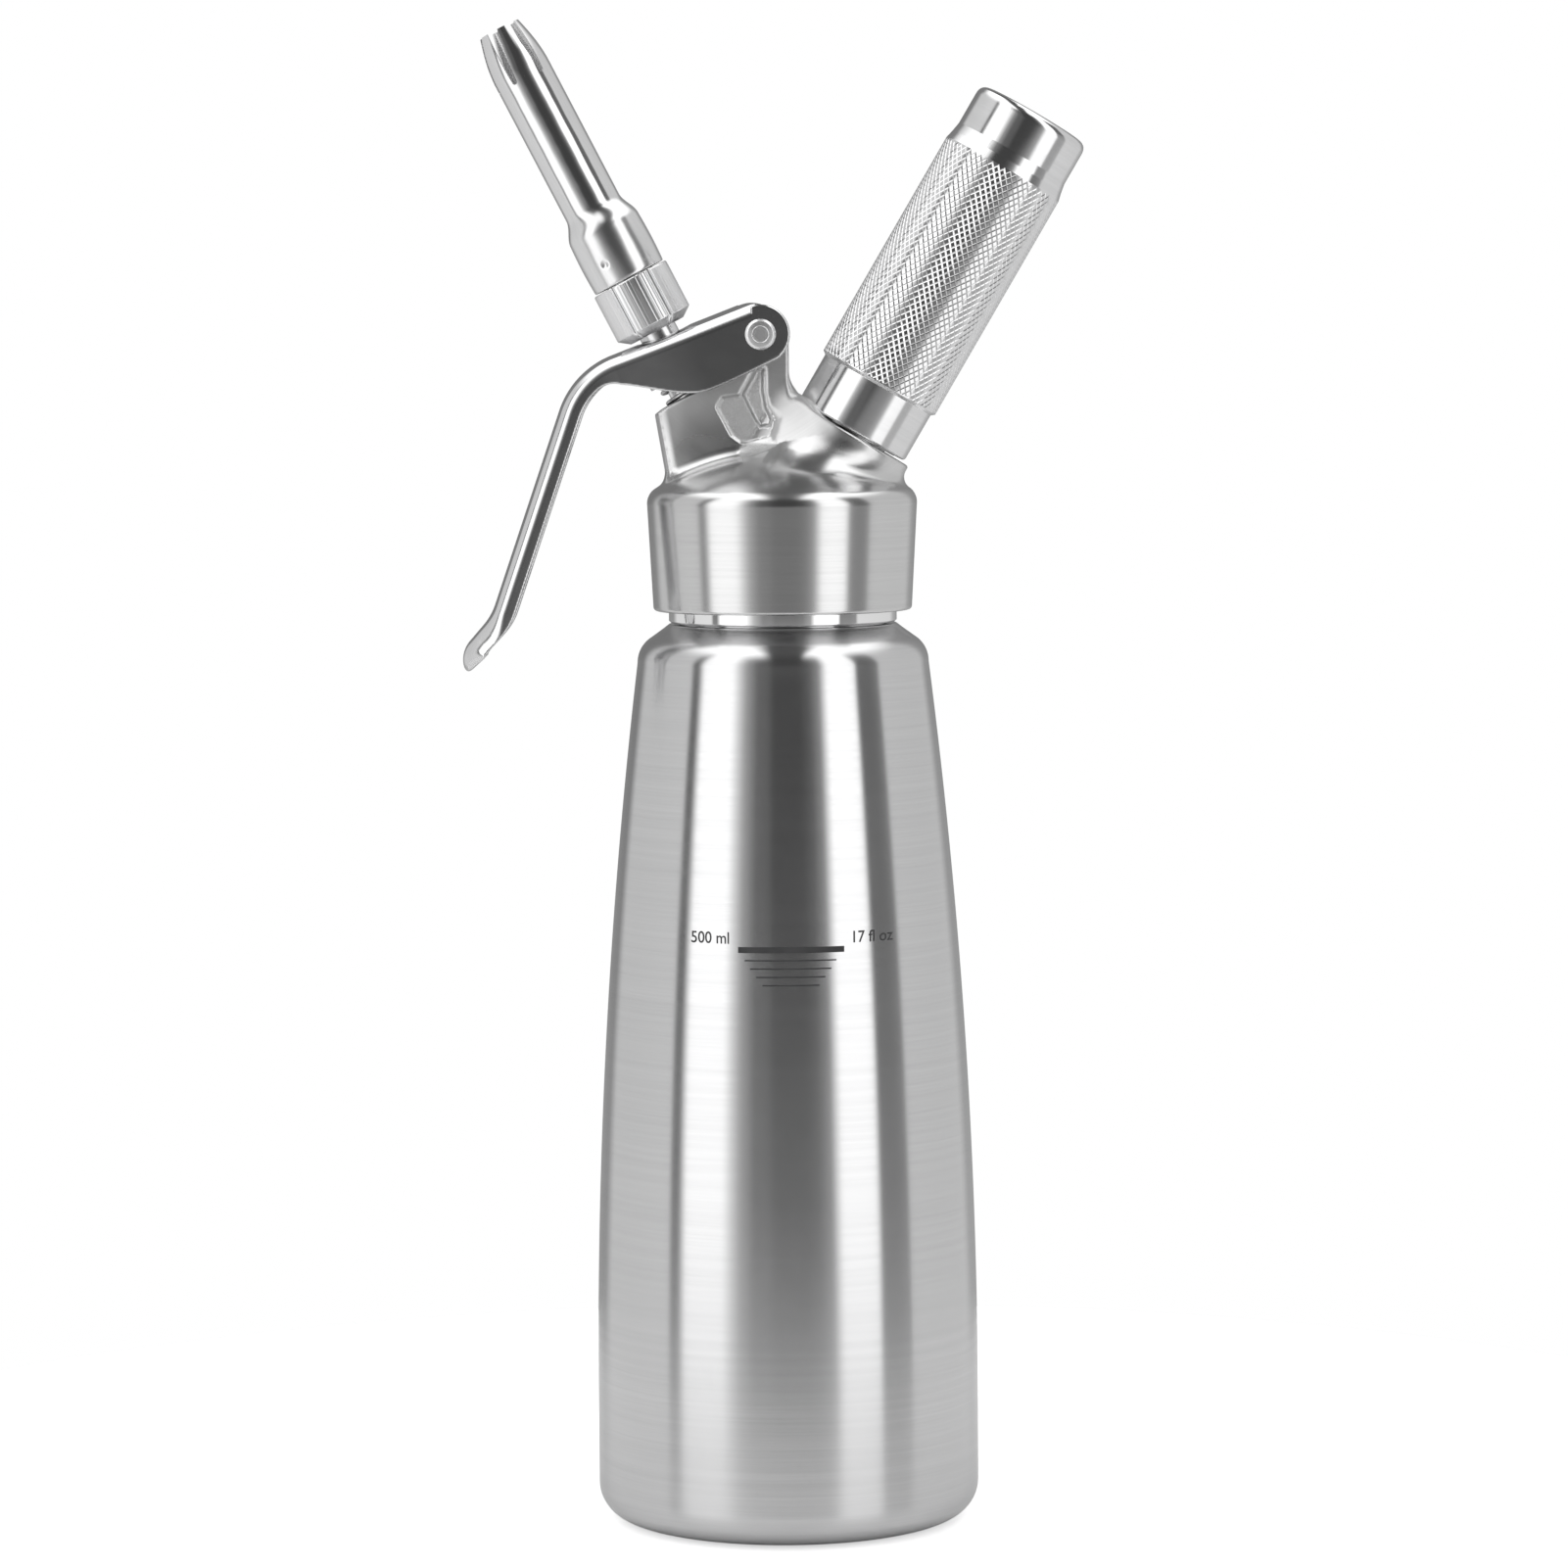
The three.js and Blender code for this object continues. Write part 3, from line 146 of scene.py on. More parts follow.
def splitAlongGroove(loop, radius):
    # two triangles whose shared edge follows the groove instead of crossing it
    deep = [radius[row, column] for row, column, _, _ in loop]
    falling = abs(deep[0] - deep[2]) - abs(deep[1] - deep[3])
    falling += 0.1 * (deep[0] + deep[2] - deep[1] - deep[3])      # settles a tie
    turn = 0 if falling <= 0 else 1
    return [[loop[(turn + k) % 4] for k in half] for half in ((0, 1, 2), (2, 3, 0))]


def turned(name, outline, place=upright, segments=144, closed=False, shape=None, sharp=38, grooved=False):
    # a revolve of (radius, height) points; its UV map runs round the piece and along its outline
    ring = np.array(outline, float)
    count = len(ring)
    angle = np.linspace(0, 2 * math.pi, segments, endpoint=False)[:, None]
    radius = np.repeat(ring[None, :, 0], segments, 0)
    height = np.repeat(ring[None, :, 1], segments, 0)
    if shape:
        radius = shape(angle, radius, height)
    points = np.stack([radius * np.cos(angle), radius * np.sin(angle), height], -1).reshape(-1, 3)
    onAxis = ring[:, 0] < 1e-6
    closing = list(range(count)) + ([0] if closed else [])
    lengths = [0.0]
    for a, b in zip(closing, closing[1:]):
        lengths.append(lengths[-1] + math.dist(ring[a], ring[b]))
    widest = ring[:, 0].max()
    faces, corners = [], []
    for i in range(segments):
        after = (i + 1) % segments
        low, high = (2 * math.pi * widest * k / segments for k in (i, i + 1))
        for k, (a, b) in enumerate(zip(closing, closing[1:])):
            if onAxis[a] and onAxis[b]:
                continue
            loop = [
                (0 if onAxis[a] else i, a, low, lengths[k]),
                (0 if onAxis[a] else after, a, high, lengths[k]),
                (0 if onAxis[b] else after, b, high, lengths[k + 1]),
                (0 if onAxis[b] else i, b, low, lengths[k + 1]),
            ]
            if onAxis[a]:
                loop.pop(0)
            if onAxis[b]:
                loop.pop(2)
            parts = splitAlongGroove(loop, radius) if grooved and len(loop) == 4 else [loop]
            for part in parts:
                faces.append([row * count + column for row, column, _, _ in part])
                corners += [(u, v) for _, _, u, v in part]
    used = np.zeros(len(points), bool)
    used[[index for face in faces for index in face]] = True
    fresh = np.cumsum(used) - 1
    faces = [[int(fresh[index]) for index in face] for face in faces]
    return finishMesh(name, points[used], faces, place, sharp, corners)


def prism(name, outline, low, high, place=upright):
    # outline in X and Y, pulled along Z
    count = len(outline)
    points = [(x, y, z) for z in (low, high) for x, y in outline]
    faces = [list(range(count))[::-1], list(range(count, 2 * count))]
    faces += [[k, (k + 1) % count, count + (k + 1) % count, count + k] for k in range(count)]
    return finishMesh(name, points, faces, place)


def ringOf(name, s, place=upright, segments=72):
    edge = s.get("edge", 0.25)
    corners = [(s[across], s[up], edge) for across, up in
               (("inside", "low"), ("outside", "low"), ("outside", "high"), ("inside", "high"))]
    return turned(name, rounded(corners, closed=True), place, segments, closed=True)


def cut(piece, *cutters):
    for cutter in cutters:
        step = piece.modifiers.new("cut", "BOOLEAN")
        step.object, step.operation, step.solver = cutter, "DIFFERENCE", "EXACT"
    settle(piece)
    for cutter in cutters:
        bpy.data.objects.remove(cutter)


def bake(piece):
    graph = bpy.context.evaluated_depsgraph_get()
    mesh = bpy.data.meshes.new_from_object(piece.evaluated_get(graph))
    piece.modifiers.clear()
    piece.data = mesh
    return mesh


def settle(piece, sharp=32):
    mesh = bake(piece)
    mesh.polygons.foreach_set("use_smooth", [True] * len(mesh.polygons))
    mesh.set_sharp_from_angle(angle=math.radians(sharp))
    # small sliver faces no longer bend the shading
    piece.modifiers.new("weigh", "WEIGHTED_NORMAL").keep_sharp = True
    bake(piece)


def vertexMask(piece, name, values):
    layer = piece.data.attributes.new(name, "FLOAT", "POINT")
    layer.data.foreach_set("value", np.asarray(values, np.float32))


# solids as distance fields, for the casting and the pressed lever
def easeBetween(value, low, high):
    share = np.clip((value - low) / (high - low), 0, 1)
    return share * share * (3 - 2 * share)


def roundJoin(a, b, radius):
    # union with a hollow fillet
    corner = np.hypot(np.maximum(radius - a, 0), np.maximum(radius - b, 0))
    return np.maximum(radius, np.minimum(a, b)) - corner


def roundMeet(a, b, radius):
    # intersection with a rounded edge
    corner = np.hypot(np.maximum(radius + a, 0), np.maximum(radius + b, 0))
    return np.minimum(-radius, np.maximum(a, b)) + corner


def outlineDistance(x, z, corners):
    nearest = np.full(x.shape, 1e9)
    inside = np.zeros(x.shape, bool)
    for (ax, az), (bx, bz) in zip(corners, corners[1:] + corners[:1]):
        ex, ez = bx - ax, bz - az
        wx, wz = x - ax, z - az
        t = np.clip((wx * ex + wz * ez) / max(ex * ex + ez * ez, 1e-12), 0, 1)
        nearest = np.minimum(nearest, (wx - ex * t) ** 2 + (wz - ez * t) ** 2)
        if abs(ez) > 1e-9:
            inside ^= ((az <= z) != (bz <= z)) & (x < ax + wz * ex / ez)
    return np.where(inside, -1, 1) * np.sqrt(nearest)


def fieldValues(field, axes, stride=4):
    # exact values only near the surface, found on a coarse grid first
    coarse = [axis[::stride] for axis in axes]
    grid = np.stack(np.meshgrid(*coarse, indexing="ij"), -1)
    value = field(grid.reshape(-1, 3)).reshape(grid.shape[:3])
    for k in range(3):
        value = np.repeat(value, stride, k)
    value = value[tuple(slice(len(axis)) for axis in axes)].copy()
    reach = stride * (axes[0][1] - axes[0][0]) * 1.9      # a little over the coarse cell's diagonal
    near = np.argwhere(np.abs(value) < reach)
    points = np.stack([axes[k][near[:, k]] for k in range(3)], -1)
    value[tuple(near.T)] = field(points)
    return value


def towardsSurface(field, points, steps, limit, nudge=0.01):
    for _ in range(steps):
        here = field(points)
        slope = np.stack([field(points + nudge * np.eye(3)[k]) - here for k in range(3)], -1) / nudge
        size = np.maximum((slope ** 2).sum(1), 0.2)
        points = points - np.clip(here / size, -limit, limit)[:, None] * slope
    return points, slope / np.linalg.norm(slope, axis=1)[:, None]


def crossingPoints(value, cells):
    # the mean of the places where a cell's edges pass through the surface
    total, hits = np.zeros((len(cells), 3)), np.zeros(len(cells))
    for axis in range(3):
        for first in np.ndindex(2, 2, 2):
            if first[axis]:
                continue
            second = np.array(first)
            second[axis] = 1
            a = value[tuple((cells + first).T)]
            b = value[tuple((cells + second).T)]
            crossing = (a < 0) != (b < 0)
            share = np.where(crossing, a / np.where(crossing, a - b, 1), 0)
            total += crossing[:, None] * (np.array(first) + share[:, None] * (second - np.array(first)))
            hits += crossing
    return cells + total / hits[:, None]


def surfaceQuads(inside, number):
    # one face for every grid edge that passes through the surface
    quads = []
    for axis in range(3):
        u, v = (axis + 1) % 3, (axis + 2) % 3
        step, du, dv = np.eye(3, dtype=int)[[axis, u, v]]
        here = np.argwhere(np.diff(inside.astype(int), axis=axis) != 0)
        here = here[(here[:, u] > 0) & (here[:, v] > 0)]
        here = here[(here[:, u] < number.shape[u]) & (here[:, v] < number.shape[v])]
        quad = np.stack([number[tuple((here - back).T)] for back in (0 * du, du, du + dv, dv)], -1)
        outward = inside[tuple(here.T)] & ~inside[tuple((here + step).T)]
        quad[~outward] = quad[~outward][:, ::-1]
        quads.append(quad)
    return np.concatenate(quads)


def fieldMesh(name, field, low, high, cell, place=upright):
    axes = [np.arange(low[k], high[k] + cell, cell) for k in range(3)]
    value = fieldValues(field, axes)
    inside = value < 0
    box = [slice(0, -1), slice(1, None)]
    sums = sum(inside[box[i], box[j], box[k]].astype(int) for i, j, k in np.ndindex(2, 2, 2))
    cells = np.argwhere((sums > 0) & (sums < 8))
    number = np.full(sums.shape, -1)
    number[tuple(cells.T)] = np.arange(len(cells))
    quads = surfaceQuads(inside, number)
    points, _ = towardsSurface(field, np.array(low) + crossingPoints(value, cells) * cell, 3, cell)
    # even out the faces, then back onto the surface
    pairs = np.concatenate([quads[:, [k, (k + 1) % 4]] for k in range(4)])
    for _ in range(2):
        mean, degree = np.zeros_like(points), np.zeros(len(points))
        for a, b in ((0, 1), (1, 0)):
            np.add.at(mean, pairs[:, a], points[pairs[:, b]])
            np.add.at(degree, pairs[:, a], 1)
        points, _ = towardsSurface(field, 0.5 * points + 0.5 * mean / degree[:, None], 2, cell)
    points, normals = towardsSurface(field, points, 1, cell)
    piece = finishMesh(name, points, quads.tolist(), place, sharp=180)
    piece.data.normals_split_custom_set_from_vertices(normals.tolist())
    return piece, points


print("helpers ready")


bottle = {
    "bodyRadius": 39.2,
    "footCorner": 7.0,
    "taperStart": 25.0,
    "shoulder": 176.4,
    "shoulderRadius": 29.8,
    "shoulderCorner": 6.0,
    "shoulderTurn": math.radians(58),
    "rootRadius": 23.3,
    "rootRise": 1.1,
    "rootFillet": 2.5,
    "neckFoot": 184.3,
    "neckRadius": 21.0,
    "rim": 200.5,
    "rimDepth": 3.0,
    "wall": 1.2,
    "footWall": 1.6,
    "rows": 46,
    "segments": 192,
}


def bodyRadiusAt(height):
    share = max(0.0, (height - bottle["taperStart"]) / (bottle["shoulder"] - bottle["taperStart"]))
    return bottle["bodyRadius"] - (bottle["bodyRadius"] - bottle["shoulderRadius"]) * share ** 2


def makeBottle(s):
    heights = np.linspace(s["taperStart"], s["shoulder"], s["rows"])
    quarter = np.linspace(0, math.pi / 2, 15)      # from the level to straight up
    corner, cap = s["bodyRadius"] - s["footCorner"], s["shoulderRadius"] - s["shoulderCorner"]
    turns = np.linspace(0, s["shoulderTurn"], 14)[1:]
    outside = [(0, 0), (corner * 0.5, 0)]
    outside += arc(corner, s["footCorner"], s["footCorner"], quarter - math.pi / 2)
    outside += [(bodyRadiusAt(h), h) for h in heights]
    outside += arc(cap, s["shoulder"], s["shoulderCorner"], turns)
    outside += rounded([
        outside[-1],
        (s["rootRadius"] + 1.3, s["neckFoot"] - s["rootRise"], s["rootFillet"]),
        (s["rootRadius"], s["neckFoot"] - 0.1, 0.3),
        (s["rootRadius"] - 0.3, s["neckFoot"], 0.1),
        (s["neckRadius"], s["neckFoot"]),
    ])[1:]
    low, within = s["rim"] - s["rimDepth"], s["neckRadius"] - s["wall"]
    lip = rounded([(s["neckRadius"], low), (s["neckRadius"], s["rim"], 0.5), (within, s["rim"], 0.5), (within, low)])
    inner = s["shoulderCorner"] - s["wall"]
    inside = [(within, s["shoulder"] + s["shoulderCorner"])]
    inside += arc(cap, s["shoulder"], inner, quarter[::-1][1:])
    inside += [(bodyRadiusAt(h) - s["wall"], h) for h in heights[::-1][1:]]
    bowl = s["footCorner"] - s["wall"]
    inside += arc(corner, s["footWall"] + bowl, bowl, -quarter)
    inside += [(0, s["footWall"])]
    return turned("bottleBody", outside + lip + inside, segments=s["segments"])


bottleBody = makeBottle(bottle)


# fill marks on the bottle, all generic
marks = {
    "bar": (-9.4, 11.8, 120.2, 121.4),      # left, right, low, high
    "lines": [(-8.1, 10.2, 118.7), (-7.0, 9.2, 117.05), (-5.8, 8.0, 115.4), (-4.6, 6.8, 113.75)],
    "lineHeight": 0.28,
    "words": [("500 ml", -18.9, 122.0), ("17 fl oz", 13.1, 122.0)],
    "wordHeight": 3.3,
    "wordWidth": 0.86,
    "wordBold": 0.035,
    "proud": 0.015,
    "skin": 0.03,
    "columns": 40,
}


def wrapped(x, z, lift):
    radius = bodyRadiusAt(z) + lift
    return (x, -math.sqrt(radius ** 2 - x ** 2), z)


def makeMark(name, left, right, low, high):
    columns, row = marks["columns"], marks["columns"] + 1
    points, faces = [], []
    for lift in (marks["proud"], marks["proud"] - marks["skin"]):
        for z in (low, high):
            points += [wrapped(left + (right - left) * k / columns, z, lift) for k in range(row)]
    for k in range(columns):
        for a, b in ((0, 1), (3, 2), (2, 0), (1, 3)):      # front, back, lower and upper edge
            faces.append([a * row + k, a * row + k + 1, b * row + k + 1, b * row + k])
    for k in (0, columns):
        faces.append([k, row + k, 3 * row + k, 2 * row + k])
    return finishMesh(name, points, faces, upright)


def makeWord(name, text, left, low):
    curve = bpy.data.curves.new(name, "FONT")
    curve.body, curve.size, curve.extrude = text, marks["wordHeight"], marks["skin"] / 2
    curve.resolution_u, curve.offset = 4, marks["wordBold"]
    words = bpy.data.objects.new(name, curve)
    bpy.context.scene.collection.objects.link(words)
    graph = bpy.context.evaluated_depsgraph_get()
    mesh = bpy.data.meshes.new_from_object(words.evaluated_get(graph))
    bpy.data.objects.remove(words)
    edit = bmesh.new()
    edit.from_mesh(mesh)
    bmesh.ops.remove_doubles(edit, verts=edit.verts, dist=1e-5)
    bmesh.ops.triangulate(edit, faces=edit.faces)
    for vert in edit.verts:
        lift = marks["proud"] - marks["skin"] / 2 + vert.co.z
        vert.co = Vector(wrapped(left + vert.co.x * marks["wordWidth"], low + vert.co.y, lift)) * mm
    edit.to_mesh(mesh)
    edit.free()
    piece = bpy.data.objects.new(name, mesh)
    bpy.context.scene.collection.objects.link(piece)
    return piece


markPieces = [makeMark("fillBar", *marks["bar"])]
for k, (left, right, height) in enumerate(marks["lines"]):
    half = marks["lineHeight"] / 2
    markPieces.append(makeMark(f"fillLine_{k + 1}", left, right, height - half, height + half))
for k, (text, left, low) in enumerate(marks["words"]):
    markPieces.append(makeWord(f"fillWord_{k + 1}", text, left, low))
print("bottle and fill marks built")


# neck ring with its thread
neck = {
    "bore": 21.3,
    "radius": 23.3,
    "foot": 184.6,
    "top": 200.0,
    "threadFrom": 188.4,
    "threadTo": 199.2,
    "pitch": 4.0,
    "depth": 1.05,
    "rowStep": 0.12,
    "segments": 192,
}
gasket = {"inside": 19.8, "outside": 23.4, "low": 200.8, "high": 202.5, "edge": 0.35}


def ridge(phase, flat, slope):
    # a trapezoid thread: 1 on the crest, 0 in the root
    distance = np.abs(phase - np.round(phase))
    return np.clip((0.5 * flat + slope - distance) / slope, 0, 1)


def makeNeckRing(s):
    rows = [(s["radius"], h) for h in np.arange(s["threadFrom"], s["threadTo"] + 0.01, s["rowStep"])]
    outside = rounded([
        (s["bore"], s["foot"] + 2),
        (s["bore"], s["foot"], 0.2),
        (s["radius"] - 0.35, s["foot"], 0.1),
        (s["radius"], s["foot"] + 0.35, 0.15),
        (s["radius"], s["threadFrom"]),
    ])
    closing = rounded([
        (s["radius"], s["threadTo"] + 0.1),
        (s["radius"] - 0.2, s["top"], 0.4),
        (s["bore"], s["top"], 0.2),
        (s["bore"], s["top"] - 2),
    ])

    def thread(angle, radius, height):
        crest = ridge((height - s["threadFrom"]) / s["pitch"] - angle / (2 * math.pi), 0.22, 0.2)
        ends = np.clip((height - s["threadFrom"]) / 0.6, 0, 1) * np.clip((s["threadTo"] - height) / 0.5, 0, 1)
        cutting = (radius > s["radius"] - 0.01) & (height > s["threadFrom"] - 0.01) & (height < s["threadTo"] + 0.01)
        return radius - cutting * s["depth"] * ends * (1 - crest)

    return turned("neckRing", outside + rows + closing, segments=s["segments"], closed=True, shape=thread)


neckRing = makeNeckRing(neck)
headGasket = ringOf("headGasket", gasket, segments=144)


# head: one casting of collar, dome, lever tower and charger boss
head = {
    "foot": 187.0,
    "collarTop": 210.4,
    "footRadius": 26.4,
    "topRadius": 27.65,
    "footEdge": 0.7,
    "topEdge": 1.5,
    "domeRadius": 46.0,
    "domeTop": 219.9,
    "bore": 23.7,
    "boreTop": 202.8,
    "hollow": 18.5,
    "hollowTop": 210.5,
    "towerHalf": 7.2,
    "towerFront": 7.24,
    "frontLean": math.radians(9.7),
    "frontCrown": 1.4,
    "frontDrop": 1.1,
    "flankBow": 1.3,
    "flankBowLength": 13.0,
    "flankRound": 0.25,
    "flankRoundLength": 1.6,
    "topChamfer": 2.6,
    "towerBack": 7.4,
    "earRadius": 4.1,
    "earBack": 5.72,
    "earBackTop": 1.7,
    "edge": 0.7,
    "towerFillet": 2.4,
    "bossRadius": 13.7,
    "bossGap": 0.5,
    "bossDepth": 16.0,
    "bossFillet": 2.4,
    "bossFilletInner": 6.0,
    "pivotHole": 2.6,
    # holes along the valve and along the gas way: radius, foot, top
    "stemBore": (4.3, -26.0, math.inf),
    "springSeat": (5.7, -3.0, math.inf),
    "chamber": (7.0, -45.0, -24.0),
    "postBore": (8.3, -7.9, math.inf),
    "checkBore": (4.4, -26.0, -11.0),
    "holeEdge": 0.25,
    "pad": {"depth": 0.7, "draft": 0.55, "rough": 0.75},
    "pocket": {"depth": 1.8, "draft": 0.75, "rough": 1.0},
    "pocketEdge": 0.4,
    "pocketFillet": 0.45,
    "pocketCorner": (-9.33, -22.2),      # from the pivot
    "pocketSize": (13.3, 16.0),
    "patch": (-3.4, 219.4, 5.2, 1.9),      # middle and half size of the rough patch
    "box": ((-29, -29, 186), (29.5, 29, 249)),
    "cell": 0.4,
}
# corners of the sunk shapes as shares of the pocket's size
padShares = [(0.105, 0.605), (0, 0.47), (0.235, 0.1), (0.39, 0), (0.906, 0.04), (1, 0.33), (0.836, 0.49),
             (0.793, 0.666), (0.793, 0.97), (0.598, 0.9), (0.352, 0.628)]
pocketShares = [(0.6, 1), (0.352, 0.628), (0.624, 0.156), (0.908, 0.124), (1, 0.33), (0.836, 0.49),
                (0.793, 0.666), (0.795, 1)]


def leaningPoint(place, across, along):
    point = place @ Vector((across * mm, 0, along * mm))
    return point.x / mm, point.z / mm


def frameParts(p, place):
    # coordinates of points in a leaning frame
    back = np.array(place.inverted())
    return (np.asarray(p) * mm @ back[:3, :3].T + back[:3, 3]).T / mm


def towerOutline(s):
    foot = s["hollowTop"] + 0.6
    frontX, frontZ = leaningPoint(valvePlace, -s["towerFront"], -s["frontDrop"])
    footX = frontX + (frontZ - foot) * math.tan(s["frontLean"])
    backX = pivotPoint.x + s["earBack"]
    rimX, rimZ = leaningPoint(gasPlace, -s["bossRadius"], -s["bossGap"])
    corners = [
        (footX - s["frontCrown"], foot),
        (frontX - s["frontCrown"], frontZ, 0.5),
        (frontX, frontZ + s["frontDrop"], 0.6),
        (*leaningPoint(valvePlace, -s["towerFront"] + s["topChamfer"], 0), 0.6),
        leaningPoint(valvePlace, s["towerBack"], 0),
    ]
    corners += arc(pivotPoint.x, pivotPoint.z, s["earRadius"], np.radians(np.linspace(169, 36, 12)))
    corners += [
        (backX, pivotPoint.z - s["earBackTop"], 1.0),
        (backX, rimZ, 2.0),
        leaningPoint(gasPlace, -s["bossRadius"] + 3.5, -s["bossGap"]),
        leaningPoint(gasPlace, 0, -6),
        (rimX + 12, foot),
    ]
    return rounded(corners, closed=True, steps=3)


def sunkOutline(s, shares):
    left, low = pivotPoint.x + s["pocketCorner"][0], pivotPoint.z + s["pocketCorner"][1]
    width, height = s["pocketSize"]
    return rounded([(left + u * width, low + v * height, 0.8) for u, v in shares], closed=True, steps=3)


headTower = towerOutline(head)
headFront = leaningPoint(valvePlace, -head["towerFront"], -head["frontDrop"])
sunkShapes = [(sunkOutline(head, padShares), head["pad"]), (sunkOutline(head, pocketShares), head["pocket"])]


def domeField(p, s):
    x, y, z = p.T
    radius = np.hypot(x, y)
    slope = (s["topRadius"] - s["footRadius"]) / (s["collarTop"] - s["foot"])
    side = (radius - s["footRadius"] - (z - s["foot"]) * slope) / math.hypot(1, slope)
    dome = np.sqrt(radius ** 2 + (z - s["domeTop"] + s["domeRadius"]) ** 2) - s["domeRadius"]
    return roundMeet(roundMeet(side, dome, s["topEdge"]), s["foot"] - z, s["footEdge"])


def towerField(p, s):
    x, y, z = p.T
    flat = outlineDistance(x, z, headTower)
    lean = s["frontLean"]
    ahead = (x - headFront[0]) * math.cos(lean) + (z - headFront[1]) * math.sin(lean)
    bow = (s["towerHalf"] ** 2 + s["frontCrown"] ** 2) / (2 * s["frontCrown"])
    front = np.hypot(ahead - bow + s["frontCrown"], y) - bow
    front = np.where(ahead > 3, -9, front)
    bowIn = s["flankBow"] * np.clip(1 - ahead / s["flankBowLength"], 0, 1) ** 2
    bowIn += s["flankRound"] * np.clip(1 - ahead / s["flankRoundLength"], 0, 1) ** 2
    flank = (np.abs(y) - s["towerHalf"] + bowIn) * 0.93      # the bow makes the field a little too steep
    return roundMeet(roundMeet(flat, front, 0.3), flank, s["edge"])


def bossField(p, s):
    across, y, along = frameParts(p, gasPlace)
    side = np.hypot(across, y) - s["bossRadius"]
    return roundMeet(roundMeet(side, along + s["bossGap"], 0.5), -s["bossDepth"] - along, 0.5)


def sunkField(p, s, outline, sunk):
    x, y, z = p.T
    below = s["towerHalf"] - np.abs(y)
    draft = sunk["draft"]
    wall = (outlineDistance(x, z, outline) + draft * (np.maximum(below, -1.0) + 0.2)) / math.hypot(1, draft)
    return roundMeet(wall, below - sunk["depth"], s["pocketFillet"])


def bored(radius, along, hole):
    size, foot, top = hole
    return np.maximum(radius - size, np.maximum(along - top, foot - along))


def headField(p, s=head):
    dome, tower, boss = domeField(p, s), towerField(p, s), bossField(p, s)
    x, y, z = p.T
    near = (z > 209) & (np.abs(x - pivotPoint.x + 2.7) < 15)      # the pads are worked out only round here
    sunk = np.full(x.shape, 50.0)
    sunk[near] = np.minimum(*[sunkField(p[near], s, *shape) for shape in sunkShapes])
    tower = roundMeet(tower, -sunk, s["pocketEdge"])
    outward = frameParts(p, gasPlace)[0] / s["bossRadius"]
    fillet = s["bossFillet"] + (s["bossFilletInner"] - s["bossFillet"]) * easeBetween(-outward, -0.9, 0.2)
    body = roundJoin(roundJoin(dome, tower, s["towerFillet"]), boss, fillet)
    radius = np.hypot(x, y)
    valveAcross, _, valveAlong = frameParts(p, valvePlace)
    valveRadius = np.hypot(valveAcross, y)
    gasAcross, _, gasAlong = frameParts(p, gasPlace)
    gasRadius = np.hypot(gasAcross, y)
    holes = [roundMeet(radius - s["bore"], z - s["boreTop"], 0.3)]
    holes += [roundMeet(radius - s["hollow"], z - s["hollowTop"], 0.8)]
    holes += [bored(valveRadius, valveAlong, s[hole]) for hole in ("stemBore", "springSeat", "chamber")]
    holes += [np.hypot(x - pivotPoint.x, z - pivotPoint.z) - s["pivotHole"]]
    holes += [bored(gasRadius, gasAlong, s[hole]) for hole in ("postBore", "checkBore")]
    for hole in holes:
        body = roundMeet(body, -hole, s["holeEdge"])
    return body


def makeHead(s):
    piece, points = fieldMesh("headCasting", headField, *s["box"], s["cell"])
    x, y, z = points.T
    tower, dome, boss = towerField(points, s), domeField(points, s), bossField(points, s)
    # masks for the material: cast skin, sunk floors, how much painted edge highlight and rubbed wear the edges get, the
    # rough patch
    vertexMask(piece, "cast", np.clip((dome - np.minimum(tower, boss) - 0.2) / 2.2, 0, 1))
    free = np.clip((np.minimum(dome, boss) - 0.2) / 1.2, 0, 1)
    floors = []
    for outline, sunk in sunkShapes:
        inside = np.clip((0.8 - sunkField(points, s, outline, sunk)) / 0.4, 0, 1)
        level = np.clip(1.15 - np.abs(np.abs(y) - s["towerHalf"] + sunk["depth"]) / 0.35, 0, 1)
        floors.append(sunk["rough"] * inside * level * free)
    vertexMask(piece, "pocket", np.maximum(*floors))
    wall = (dome > -0.1) & (z > s["foot"] + 1.5) & (z < s["collarTop"] - 2)
    vertexMask(piece, "edges", np.where(wall, 0.0, 0.15))
    midX, midZ, halfX, halfZ = s["patch"]
    patch = np.maximum(np.abs(x - midX) / halfX, np.abs(z - midZ) / halfZ)
    vertexMask(piece, "patch", np.clip(2.2 - 2 * patch, 0, 1) * np.clip((10.4 - np.abs(y)) / 1.6, 0, 1))
    return piece


headCasting = makeHead(head)
print("head casting built with", len(headCasting.data.polygons), "faces")


